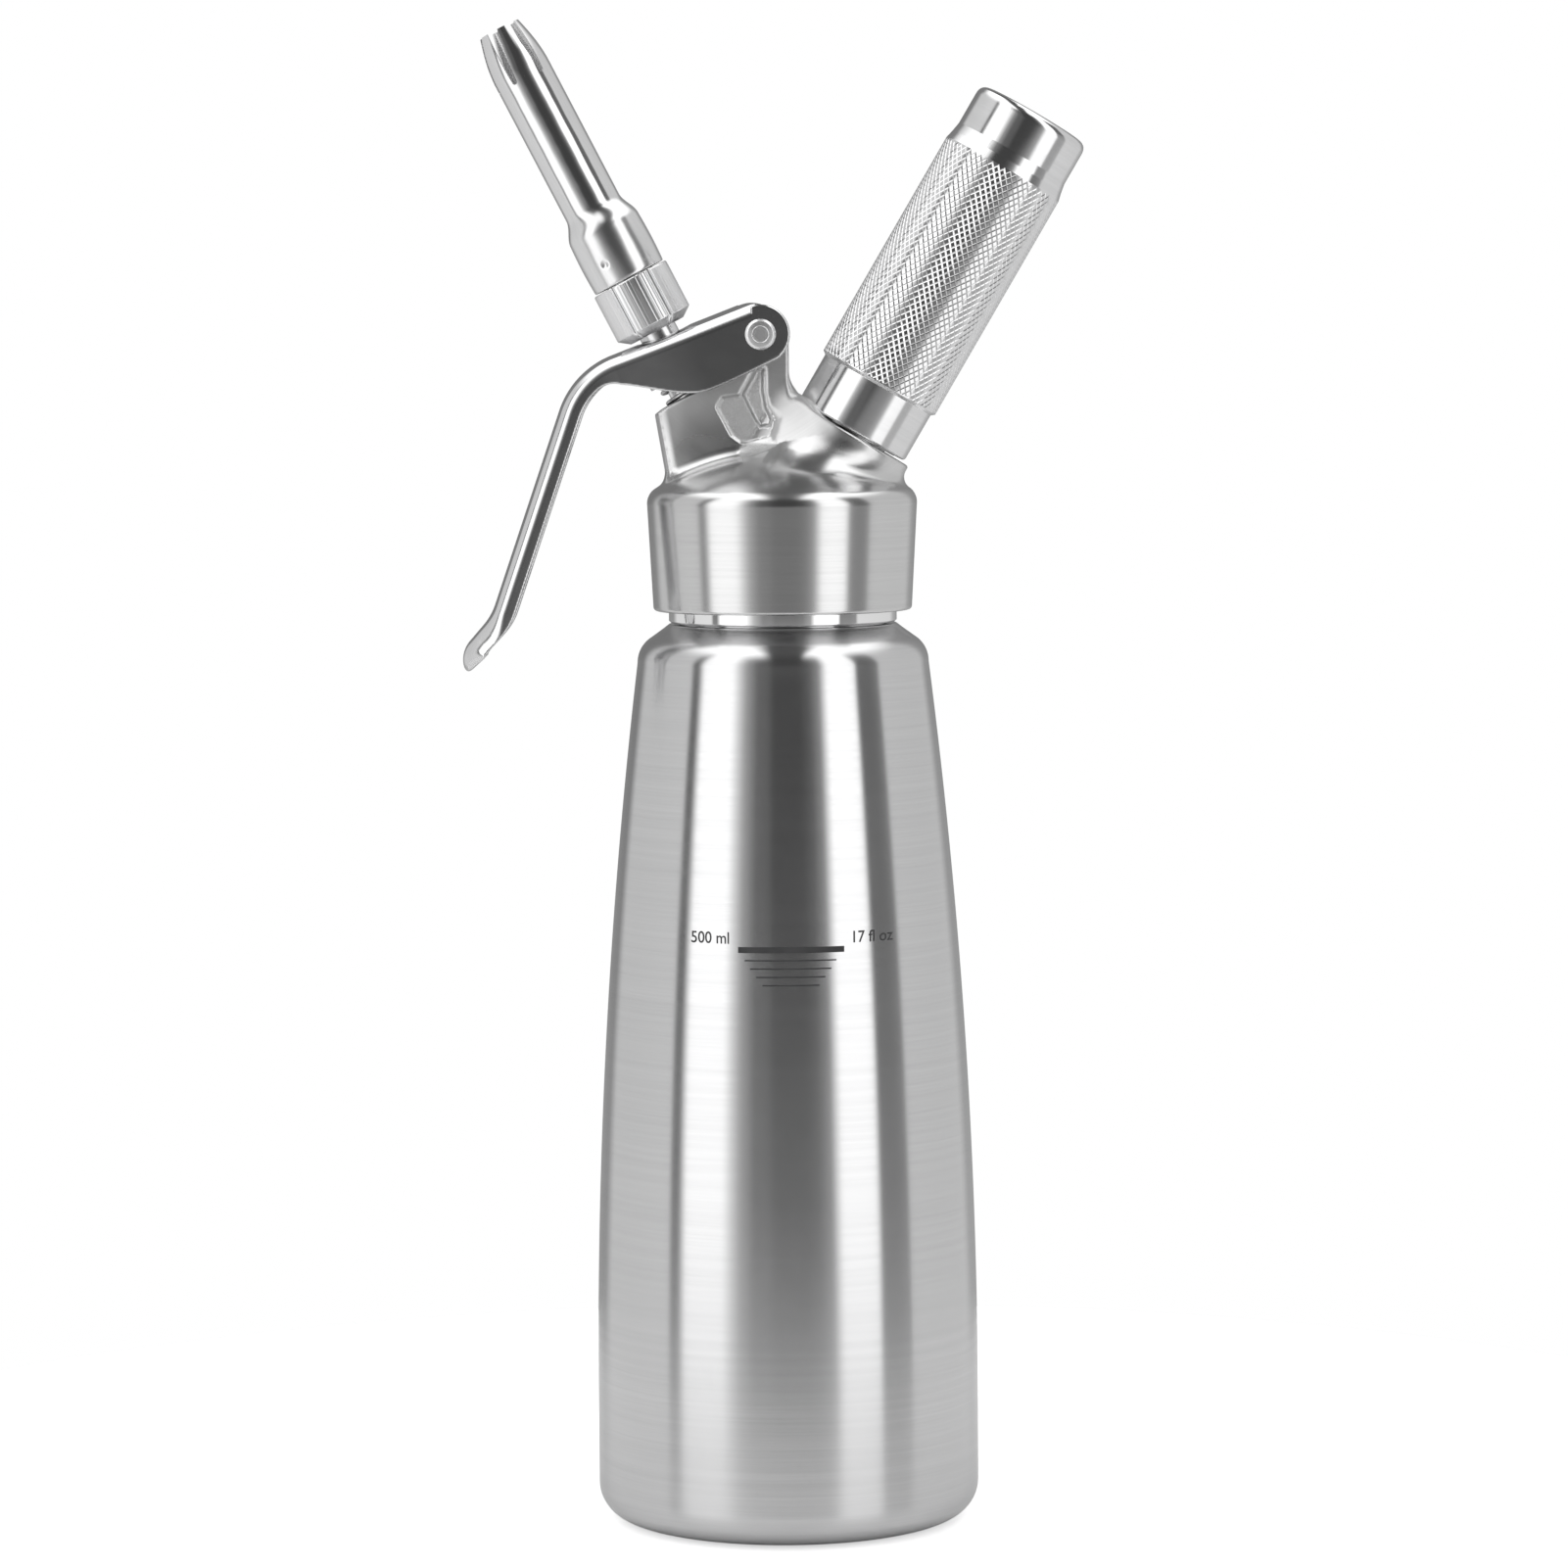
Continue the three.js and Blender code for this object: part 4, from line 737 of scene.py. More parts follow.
# lever: a pressed channel that follows one line of straights and bends
lever = {
    "sheet": 1.4,
    "halfWidth": 9.0,
    "handleHalf": 8.2,
    "crown": 0.8,
    "bend": 2.0,
    "plateHeight": 7.2,
    "plateSlope": math.radians(21.2),
    "backLength": 9.0,
    "path": [("straight", 29.9, 0), ("bend", 18.3, 49.9), ("straight", 41.6, 0), ("bend", 13.0, -22.0),
             ("straight", 4.2, 0), ("bend", 6.0, 70.0)],      # length or radius, degrees
    "sideDepth": 14.0,
    "handleDepth": 4.73,
    "tipDepth": 9.0,
    "narrowFrom": 13.0,
    "narrowTo": 36.0,
    "tipLength": 9.0,
    "endRadius": 6.0,
    "endTangent": 26.0,
    "plateEnd": 1.9,
    "endSetback": 2.2,
    "tipLine": [(-63.9, 174.9), (-56.6, 181.6)],      # lower edge of the spoon tip in X and Z
    "tipBend": 5.0,
    "tipEndBend": 1.3,
    "tipBendFrom": 16.0,
    "slotRadius": 4.5,
    "slotTravel": 1.9,
    "slotFrom": 4.0,
    "slotTo": 22.0,
    "hole": 2.6,
    "edge": 0.42,
    "box": ((-68, -9.6, 171), (3.4, 9.6, 252)),
    "cell": 0.28,
}


def leverPath(s):
    heading = math.pi + s["plateSlope"]
    x, z = -math.sin(s["plateSlope"]) * s["plateHeight"], math.cos(s["plateSlope"]) * s["plateHeight"]
    x, z, run = x - math.cos(heading) * s["backLength"], z - math.sin(heading) * s["backLength"], -s["backLength"]
    legs = []
    for kind, size, turn in [("straight", s["backLength"], 0)] + s["path"]:
        turn = math.radians(turn)
        legs.append((kind, x, z, heading, size, turn, run))
        if kind == "straight":
            x, z, run = x + math.cos(heading) * size, z + math.sin(heading) * size, run + size
        else:
            side = math.copysign(1, turn)
            cx, cz = x - math.sin(heading) * size * side, z + math.cos(heading) * size * side
            heading += turn
            x, z = cx + math.sin(heading) * size * side, cz - math.cos(heading) * size * side
            run += size * abs(turn)
    return legs, run


leverLegs, leverRun = leverPath(lever)


def alongLever(x, z):
    # run along the lever's back line, and height over it towards the outside
    best, run, over = np.full(x.shape, 1e9), np.zeros(x.shape), np.zeros(x.shape)
    for index, (kind, ax, az, heading, size, turn, start) in enumerate(leverLegs):
        ahead = (x - ax) * math.cos(heading) + (z - az) * math.sin(heading)
        aside = -(x - ax) * math.sin(heading) + (z - az) * math.cos(heading)
        if kind == "straight":
            place = np.clip(ahead, -50 if index == 0 else 0, size)
            away, runHere, overHere = np.hypot(ahead - place, aside), start + place, -aside
        else:
            side = math.copysign(1, turn)
            angle = np.arctan2(ahead, size - aside * side)
            last = index == len(leverLegs) - 1
            place = np.clip(angle, 0, abs(turn) + (0.6 if last else 0))
            fromCentre = np.hypot(ahead, size - aside * side)
            toEnd = np.hypot(ahead - size * np.sin(place), aside * side - size * (1 - np.cos(place)))
            away = np.where(place == angle, np.abs(fromCentre - size), toEnd)
            runHere, overHere = start + place * size, (fromCentre - size) * side
        nearer = away < best
        best, run, over = np.where(nearer, [away, runHere, overHere], [best, run, over])
    return run, over


def leverField(p, s=lever):
    x, y, z = p[:, 0] - pivotPoint.x, p[:, 1], p[:, 2] - pivotPoint.z
    run, over = alongLever(x, z)
    tip = leverRun - s["tipLength"]
    narrow = easeBetween(run, s["narrowFrom"], s["narrowTo"])
    half = s["halfWidth"] - (s["halfWidth"] - s["handleHalf"]) * narrow
    depth = s["sideDepth"] - (s["sideDepth"] - s["handleDepth"]) * narrow
    depth = depth - (s["handleDepth"] - s["tipDepth"]) * easeBetween(run, tip, leverRun)
    # the crowned sheet in plan, closed by a half ellipse at the tip
    beyond = np.maximum(run - tip, 0) * s["handleHalf"] / s["tipLength"]
    plan = np.hypot(beyond, y) - half
    crown = s["crown"] * np.minimum((y / (s["halfWidth"] - s["bend"])) ** 2, 1.6)
    bend = s["bend"] + (s["tipBend"] - s["bend"]) * easeBetween(run, leverRun - s["tipBendFrom"], tip)
    bend = s["tipEndBend"] + (bend - s["tipEndBend"]) * np.abs(y) / np.maximum(np.hypot(beyond, y), 0.01)
    outer = roundMeet(plan, over + crown, bend)
    inner = roundMeet(plan + s["sheet"], over + crown + s["sheet"], np.maximum(bend - s["sheet"], 0.3))
    (ax, az), (bx, bz) = s["tipLine"]
    chord = ((p[:, 2] - az) * (bx - ax) - (p[:, 0] - ax) * (bz - az)) / -math.hypot(bx - ax, bz - az)
    depthCut = np.where(run > leverRun - 30, roundMeet(-depth - over, chord, 1.5), -depth - over)
    sheet = roundMeet(roundMeet(outer, -inner, s["edge"]), depthCut, s["edge"])
    # round end beside the pivot
    tangent = math.radians(s["endTangent"] - 90)
    tangentCut = np.where(x > -8, x * math.cos(tangent) + z * math.sin(tangent) - s["endRadius"], -20)
    slope = s["plateSlope"]
    endX, endZ = x + s["endSetback"] * math.cos(slope), z + s["endSetback"] * math.sin(slope)
    atEnd = endX * math.cos(slope) + endZ * math.sin(slope) > 0
    endCut = np.where(atEnd, np.hypot(endX, endZ) - s["plateHeight"], -20)
    sheet = roundMeet(roundMeet(sheet, tangentCut, s["edge"]), endCut, s["edge"])
    disc = roundMeet(np.hypot(x, z) - s["endRadius"], np.abs(y) - s["halfWidth"], s["edge"])
    disc = roundMeet(disc, s["halfWidth"] - s["sheet"] - np.abs(y), s["edge"])
    body = np.minimum(sheet, np.maximum(disc, -s["plateEnd"] - x))
    # slot for the stem, hole for the pivot
    across, _, along = frameParts(p, valvePlace)
    slot = np.hypot(across - np.clip(across, 0, s["slotTravel"]), y) - s["slotRadius"]
    slot = np.where((along > s["slotFrom"]) & (along < s["slotTo"]), slot, 30)
    body = roundMeet(body, -slot, s["edge"])
    return roundMeet(body, s["hole"] - np.hypot(x, z), s["edge"])


leverArm, _ = fieldMesh("leverArm", leverField, *lever["box"], lever["cell"])
print("lever built with", len(leverArm.data.polygons), "faces")


# pivot screw and its sleeve
pivot = {
    "seat": 9.3,
    "head": 3.1,
    "headHeight": 1.0,
    "headDish": 0.12,
    "shank": 1.3,
    "shankLength": 12.5,
    "sleeve": 2.3,
    "sleeveBore": 1.6,
    "socket": 1.3,
    "socketDepth": 0.7,
    "socketTurn": 0.3,
    "segments": 96,
}
pivotPlace = Matrix.Translation(pivotPoint * mm) @ Matrix.Rotation(math.pi / 2, 4, "X")


def hexagon(radius, turn=0.0):
    return arc(0, 0, radius, np.arange(6) * math.pi / 3 + turn)


def makeScrew(s):
    top, end = s["seat"] + s["headHeight"], s["seat"] - s["shankLength"]
    dish = top - s["headDish"]
    outline = rounded([
        (0, end),
        (s["shank"], end, 0.3),
        (s["shank"], s["seat"], 0.1),
        (s["head"], s["seat"], 0.1),
        (s["head"], top - 0.45, 0.25),
        (2.6, dish, 0.6),
        (1.75, top, 0.2),
        (1.6, dish, 0.05),
        (0, dish),
    ])
    screw = turned("pivotScrew", outline, pivotPlace, s["segments"])
    cut(screw, prism("socket", hexagon(s["socket"], s["socketTurn"]), top - s["socketDepth"], top + 1, pivotPlace))
    return screw


def makeSleeve(s):
    mouth, floor = s["seat"] - 0.3, s["seat"] - s["shankLength"] - 0.3
    outline = rounded([
        (0, -s["seat"] - s["headHeight"]),
        (s["head"], -s["seat"] - s["headHeight"], 0.35),
        (s["head"], -s["seat"], 0.1),
        (s["sleeve"], -s["seat"], 0.1),
        (s["sleeve"], mouth, 0.2),
        (s["sleeveBore"], mouth, 0.2),
        (s["sleeveBore"], floor, 0.2),
        (0, floor),
    ])
    return turned("pivotSleeve", outline, pivotPlace, s["segments"])


pivotScrew = makeScrew(pivot)
pivotSleeve = makeSleeve(pivot)


# valve: stem, seals, cap and spring, measured along the stem from the tower's top
valve = {
    "stem": 4.0,
    "stemTop": 23.0,
    "stemBore": 2.2,
    "boreFloor": -22.0,
    "tail": 2.0,
    "tailEnd": -30.6,
    "seat": -24.0,
    "groove": 2.9,
    "grooveFrom": -8.9,
    "grooveTo": -7.1,
    "port": 1.1,
    "portHeight": -20.0,
    "cap": 6.8,
    "capSkirt": 4.0,
    "capRim": 9.2,
    "capTop": 10.9,
    "capWall": 1.0,
    "segments": 96,
}
spring = {
    "radius": 4.95,
    "wire": 0.45,
    "low": -2.25,
    "high": 7.45,
    "turns": 5,
    "endPitch": 1.36,
    "steps": 30,
    "sides": 10,
}
stemSeals = {
    "stemRing": {"inside": 3.15, "outside": 4.05, "low": -8.45, "high": -7.55, "edge": 0.44},
    "valveSeal": {"inside": 2.3, "outside": 5.9, "low": -26.3, "high": -24.3},
}
retainer = {"corner": 5.2, "low": -29.6, "high": -26.6, "bore": 2.3}


def makeStem(s):
    outline = rounded([
        (0, s["tailEnd"]),
        (s["tail"], s["tailEnd"], 0.3),
        (s["tail"], s["seat"], 0.1),
        (s["stem"], s["seat"], 0.3),
        (s["stem"], s["grooveFrom"], 0.15),
        (s["groove"], s["grooveFrom"], 0.2),
        (s["groove"], s["grooveTo"], 0.2),
        (s["stem"], s["grooveTo"], 0.15),
        (s["stem"], 13.0),
        (s["stem"], s["stemTop"], 0.5),
        (s["stemBore"], s["stemTop"], 0.3),
        (s["stemBore"], s["boreFloor"], 0.3),
        (0, s["boreFloor"]),
    ])
    ports = []
    for axis in ("X", "Y"):
        crossing = Matrix.Translation((0, 0, s["portHeight"] * mm)) @ Matrix.Rotation(math.pi / 2, 4, axis)
        ports.append(turned("port", [(0, -7), (s["port"], -7), (s["port"], 7), (0, 7)], valvePlace @ crossing, 24))
    stem = turned("valveStem", outline, valvePlace, s["segments"])
    cut(stem, *ports)
    return stem


def makeCap(s):
    bore, inside = s["stem"] + 0.3, s["cap"] - s["capWall"]
    outline = rounded([
        (bore, s["capRim"] - s["capWall"], 0.1),
        (inside, s["capRim"] - s["capWall"], 0.6),
        (inside, s["capSkirt"], 0.2),
        (s["cap"], s["capSkirt"], 0.25),
        (s["cap"], s["capRim"] - 0.3, 1.0),
        (bore + 1.4, s["capTop"] - 0.15, 0.8),
        (bore, s["capTop"], 0.3),
    ], closed=True)
    return turned("springCap", outline, valvePlace, s["segments"], closed=True)


def makeSpring(s):
    turnList = np.linspace(0, s["turns"], s["turns"] * s["steps"] + 1)
    height = np.interp(turnList, [0, 1, s["turns"] - 1, s["turns"]],
                       [s["low"], s["low"] + s["endPitch"], s["high"] - s["endPitch"], s["high"]])
    points = []
    for turn, z in zip(turnList, height):
        a = 2 * math.pi * turn
        for b in np.linspace(0, 2 * math.pi, s["sides"], endpoint=False):
            r = s["radius"] + s["wire"] * math.cos(b)
            points.append((r * math.cos(a), r * math.sin(a), z + s["wire"] * math.sin(b)))
    sides, rows = s["sides"], len(turnList)
    faces = [[i * sides + j, i * sides + (j + 1) % sides, (i + 1) * sides + (j + 1) % sides, (i + 1) * sides + j]
             for i in range(rows - 1) for j in range(sides)]
    faces += [list(range(sides)), list(range((rows - 1) * sides, rows * sides))]
    return finishMesh("valveSpring", points, faces, valvePlace)


def hexNut(name, s):
    nut = prism(name, hexagon(s["corner"]), s["low"], s["high"], valvePlace)
    bore = [(0, s["low"] - 1.4), (s["bore"], s["low"] - 1.4), (s["bore"], s["high"] + 1.6), (0, s["high"] + 1.6)]
    cut(nut, turned("nutBore", bore, valvePlace, 48))
    return nut


valveStem = makeStem(valve)
springCap = makeCap(valve)
valveSpring = makeSpring(spring)
stemRing, valveSeal = [ringOf(name, s, valvePlace) for name, s in stemSeals.items()]
sealNut = hexNut("sealRetainer", retainer)
print("lever pivot and valve built")


# nozzle adapter with its seal, and the bush staked into the nozzle
adapter = {
    "foot": 14.4,
    "shoulder": 16.0,
    "top": 26.3,
    "radius": 8.25,
    "footRadius": 6.0,
    "bore": 4.3,
    "boreTop": 24.6,
    "spigot": 5.2,
    "spigotTop": 33.7,
    "spigotBore": 3.0,
    "flutes": 6,
    "fluteTurn": 30.0,
    "fluteRadius": 0.62,
    "fluteDepth": 1.15,
    # waves round, depth, phase
    "streaks": [(37, 0.010, 0.4), (61, 0.012, 2.1), (89, 0.008, 4.4), (131, 0.005, 1.3)],
    "segments": 720,
}
nozzleRings = {
    "adapterSeal": {"inside": 2.4, "outside": 4.0, "low": 23.3, "high": 24.3},
    "nozzleInsert": {"inside": 5.5, "outside": 6.9, "low": 26.6, "high": 35.8},
}


def makeAdapter(s):
    outline = rounded([
        (s["bore"], s["foot"], 0.3),
        (s["footRadius"], s["foot"], 0.3),
        (s["radius"], s["shoulder"], 0.35),
        (s["radius"], s["top"], 0.45),
        (s["spigot"], s["top"], 0.1),
        (s["spigot"], s["spigotTop"], 0.5),
        (s["spigotBore"], s["spigotTop"], 0.3),
        (s["spigotBore"], s["boreTop"], 0.1),
        (s["bore"], s["boreTop"], 0.1),
    ], closed=True)

    def fluted(angle, radius, height):
        step = 2 * math.pi / s["flutes"]
        offset = (angle + math.pi / 2 - math.radians(s["fluteTurn"]) + step / 2) % step - step / 2
        aside = np.abs(offset) * s["radius"]
        hollow = np.sqrt(np.maximum(s["fluteRadius"] ** 2 - aside ** 2, 0)) * s["fluteDepth"]
        streaks = sum(depth * np.sin(waves * angle + phase) for waves, depth, phase in s["streaks"])
        return np.where(radius > 5.7, np.minimum(radius, s["radius"] - hollow) + streaks, radius)

    return turned("nozzleAdapter", outline, valvePlace, s["segments"], closed=True, shape=fluted, sharp=60)


nozzleAdapter = makeAdapter(adapter)
adapterSeal, nozzleInsert = [ringOf(name, s, valvePlace) for name, s in nozzleRings.items()]


# decorator nozzle: drawn sheet tube, flared foot, six petals
nozzle = {
    "foot": 26.6,
    "wideRadius": 7.75,
    "wideLength": 10.8,
    "flareLength": 5.3,
    "tubeRadius": 6.05,
    "tubeLength": 31.0,
    "taperLength": 9.5,
    "mouthRadius": 4.4,
    "bow": 0.15,
    "sheet": 0.55,
    "petals": 6,
    "petalTurn": -20.0,
    "slotLength": 11.7,
    "slotRoot": 1.1,
    "slotMouth": 2.8,
    "barrel": 0.16,
    "dimple": (-23.0, 31.0, 1.1, 0.3),      # turn, height, radius, depth
    "segments": 240,
}


def nozzleOutline(s):
    flareFoot = s["foot"] + s["wideLength"]
    tubeFoot = flareFoot + s["flareLength"]
    taperFoot = tubeFoot + s["tubeLength"]
    outer = [(s["wideRadius"] - 0.12, s["foot"]), (s["wideRadius"], s["foot"] + 0.2)]
    for h in np.linspace(s["foot"] + 0.6, flareFoot - 0.3, 40):
        outer.append((s["wideRadius"] + s["barrel"] * math.sin(math.pi * (h - s["foot"]) / s["wideLength"]), h))
    for t in np.linspace(0, 1, 22):
        narrowing = (s["wideRadius"] - s["tubeRadius"]) * (1 - math.cos(math.pi * t)) / 2
        outer.append((s["wideRadius"] - narrowing, flareFoot + s["flareLength"] * t))
    outer += [(s["tubeRadius"], h) for h in np.linspace(tubeFoot + 1, taperFoot - 1, 12)]
    for t in np.linspace(0, 1, 20):
        soft = t * t * (1.6 - 0.6 * t)      # the crimp starts gently
        crimp = (s["tubeRadius"] - s["mouthRadius"]) * (0.5 * t + 0.5 * soft)
        bowOut = s["bow"] * math.sin(math.pi * t)
        outer.append((s["tubeRadius"] - crimp + bowOut, taperFoot + s["taperLength"] * t))
    return outer


def petalCutters(s):
    mouth = s["foot"] + s["wideLength"] + s["flareLength"] + s["tubeLength"] + s["taperLength"]
    half, root = s["slotRoot"] / 2, mouth - s["slotLength"] + s["slotRoot"] / 2
    outline = arc(0, root, half, np.linspace(-math.pi, 0, 13))
    outline += [(s["slotMouth"] / 2, mouth + 2), (-s["slotMouth"] / 2, mouth + 2)]
    for k in range(s["petals"]):
        turn = math.radians(s["petalTurn"] + 360 * k / s["petals"])
        outward = Matrix.Rotation(turn, 4, "Z") @ Matrix.Rotation(math.pi / 2, 4, "X")
        yield prism("slot", outline, 0.5, 9, valvePlace @ outward)


def makeNozzle(s):
    outer = nozzleOutline(s)
    inner = [(r - s["sheet"], h) for r, h in outer][::-1]
    turn, height, size, depth = s["dimple"]
    dimpleAngle = math.radians(turn) - math.pi / 2

    def dimpled(angle, radius, along):
        aside = ((angle - dimpleAngle + math.pi) % (2 * math.pi) - math.pi) * s["wideRadius"]
        distance = np.hypot(aside, along - height) / size
        hollow = np.where(distance < 1, 0.5 + 0.5 * np.cos(math.pi * np.minimum(distance, 1)), 0)
        return radius - depth * hollow

    tube = turned("decoratorNozzle", outer + inner, valvePlace, s["segments"], closed=True, shape=dimpled)
    cut(tube, *petalCutters(s))
    # mask of the tube's inner wall
    back = valvePlace.inverted()
    points = np.array([back @ vertex.co for vertex in tube.data.vertices]) / mm
    radii, heights = zip(*outer)
    below = np.interp(points[:, 2], heights, radii) - np.hypot(points[:, 0], points[:, 1])
    vertexMask(tube, "inside", np.where(below > 0.4, 1.0, 0.0))
    return tube


decoratorNozzle = makeNozzle(nozzle)
print("nozzle and adapter built")


# gas side, measured along the holder's axis: post, needle, check valve, charger
post = {
    "radius": 10.1,
    "height": 9.0,
    "foot": -0.2,
    "spigot": 8.0,
    "spigotEnd": -7.6,
    "bore": 2.5,
    "cup": 5.0,
    "cupFloor": 2.2,
    "threadFrom": 0.9,
    "threadTo": 8.3,
    "pitch": 1.5,
    "depth": 0.75,
    "rowStep": 0.08,
}
needle = {
    "bore": 0.45,
    "foot": -7.6,
    "radius": 2.2,
    "top": 1.9,
    "point": 1.0,
    "pointTop": 3.55,
    "tip": 0.75,
    "tipTop": 5.2,
}
gasSeal = {"inside": 1.3, "outside": 4.6, "low": 2.5, "high": 3.4}
valveDisc = {"radius": 3.7, "low": -12.5, "high": -11.3, "edge": 0.3}
checkNut = {"inside": 1.2, "outside": 4.1, "low": -17.4, "high": -12.8, "edge": 0.3, "socket": 2.2, "socketTop": -15.4}
charger = {
    "radius": 9.0,
    "length": 65.5,
    "neckRadius": 4.4,
    "neckLength": 7.2,
    "shoulder": 6.6,
    "wall": 1.4,
    "mouth": 1.3,
    "foot": 3.7,
    "endRadius": 7.5,
    "segments": 96,
}


def makePost(s):
    rows = [(s["radius"], h) for h in np.arange(s["threadFrom"], s["threadTo"], s["rowStep"])]
    outline = rounded([
        (s["bore"], s["spigotEnd"], 0.1),
        (s["spigot"], s["spigotEnd"], 0.3),
        (s["spigot"], s["foot"], 0.1),
        (s["radius"], s["foot"], 0.15),
        (s["radius"], s["threadFrom"]),
    ])[1:] + rows
    outline += rounded([
        (s["radius"], s["threadTo"] + 0.05),
        (s["radius"] - 0.6, s["height"], 0.2),
        (s["cup"], s["height"], 0.3),
        (s["cup"], s["cupFloor"], 0.2),
        (s["bore"], s["cupFloor"], 0.1),
        (s["bore"], s["spigotEnd"]),
    ])

    def thread(angle, radius, height):
        crest = ridge(height / s["pitch"] - angle / (2 * math.pi), 0.12, 0.38)
        ends = np.clip((height - s["threadFrom"]) / 0.5, 0, 1) * np.clip((s["threadTo"] - height) / 0.5, 0, 1)
        return radius - (radius > s["radius"] - 0.01) * s["depth"] * ends * (1 - crest)

    return turned("chargerPost", outline, gasPlace, closed=True, shape=thread)


def makeNeedle(s):
    outline = rounded([
        (s["bore"], s["foot"], 0.05),
        (s["radius"], s["foot"], 0.2),
        (s["radius"], s["top"], 0.2),
        (s["point"], s["top"], 0.15),
        (s["point"], s["pointTop"], 0.1),
        (s["tip"], s["tipTop"], 0.05),
        (s["bore"], s["tipTop"]),
    ], closed=True)
    return turned("piercingNeedle", outline, gasPlace, 48, closed=True)


def makeDisc(s):
    outline = [(0, s["low"]), (s["radius"], s["low"], s["edge"]), (s["radius"], s["high"], s["edge"]), (0, s["high"])]
    return turned("checkValveDisc", rounded(outline), gasPlace, 48)


def makeCheckNut(s):
    nut = ringOf("checkValveNut", s, gasPlace)
    cut(nut, prism("nutSocket", hexagon(s["socket"]), s["low"] - 1.6, s["socketTop"], gasPlace))
    return nut


def makeCharger(s):
    foot, top = s["foot"], s["foot"] + s["length"]
    bulge = s["radius"] - s["neckRadius"]

    def shoulder(start, wall):
        return [(s["neckRadius"] - wall + bulge * (1 - math.cos(math.pi * t)) / 2, start + s["shoulder"] * t)
                for t in np.linspace(0, 1, 14)]

    def dome(radius):
        return arc(s["radius"] - s["endRadius"], top - s["endRadius"], radius, np.linspace(0, math.pi / 2, 14))

    outline = [(s["mouth"], foot), (s["neckRadius"] - 0.3, foot), (s["neckRadius"], foot + 0.3)]
    outline += shoulder(foot + s["neckLength"], 0) + dome(s["endRadius"])
    outline += [(0, top), (0, top - s["wall"])] + dome(s["endRadius"] - s["wall"])[::-1]
    outline += shoulder(foot + s["neckLength"] + s["wall"], s["wall"])[::-1]
    outline += [(s["neckRadius"] - s["wall"], foot + 1), (s["mouth"], foot + 1)]
    return turned("gasCharger", outline, gasPlace, s["segments"], closed=True)


chargerPost = makePost(post)
piercingNeedle = makeNeedle(needle)
chargerSeal = ringOf("chargerSeal", gasSeal, gasPlace)
checkDisc = makeDisc(valveDisc)
checkValveNut = makeCheckNut(checkNut)
gasCharger = makeCharger(charger)


# charger holder with its diamond knurl
holder = {
    "length": 74.0,
    "plainRadius": 12.4,
    "knurlRadius": 13.15,
    "knurlFrom": 10.7,
    "knurlTo": 61.2,
    "coneTo": 64.9,
    "topFillet": 2.2,
    "rimFillet": 0.8,
    "bore": 9.4,
    "threadBore": 10.5,
    "threadTo": 9.6,
    "boreTop": 69.5,
    "diamonds": 60,
    "diamondHeight": 1.74,
    "diamondSteps": 6,
    "grooveDepth": 0.085,
    "grooveShare": 0.1668,
}


def makeHolder(s):
    outline = rounded([
        (s["threadBore"], 3),
        (s["threadBore"], 0, 0.3),
        (s["plainRadius"], 0, s["rimFillet"]),
        (s["plainRadius"], s["knurlFrom"], 0.1),
        (s["knurlRadius"], s["knurlFrom"] + 0.6, 0.1),
        (s["knurlRadius"], s["knurlFrom"] + 0.7),
    ])
    step = s["diamondHeight"] / s["diamondSteps"]
    rows = [step * k for k in range(int(s["knurlTo"] / step)) if s["knurlFrom"] + 0.8 < step * k < s["knurlTo"] - 0.2]
    outline += [(s["knurlRadius"], h) for h in rows]
    outline += rounded([
        (s["knurlRadius"], s["knurlTo"]),
        (s["plainRadius"] + 0.35, s["coneTo"] - 2.0, 1.2),
        (s["plainRadius"], s["coneTo"], 0.3),
        (s["plainRadius"], s["length"], s["topFillet"]),
        (0, s["length"]),
    ], steps=9)
    outline += [(0, s["boreTop"]), (s["bore"] - 1, s["boreTop"]), (s["bore"], s["boreTop"] - 1)]
    outline += [(s["bore"], s["threadTo"]), (s["threadBore"], s["threadTo"])]

    def knurled(angle, radius, height):
        around = angle * s["diamonds"] / (2 * math.pi)
        along = height / s["diamondHeight"]
        gaps = [np.abs(k - np.round(k)) for k in (around + along, around - along)]
        groove = np.maximum(*[np.clip(1 - gap / s["grooveShare"], 0, 1) for gap in gaps])
        on = (radius > s["knurlRadius"] - 0.01) & (height >= rows[0]) & (height <= rows[-1])
        return radius - on * s["grooveDepth"] * groove

    segments = s["diamonds"] * s["diamondSteps"]
    return turned("chargerHolder", outline, gasPlace, segments, closed=True, shape=knurled, sharp=12, grooved=True)


chargerHolder = makeHolder(holder)
print("gas side built")


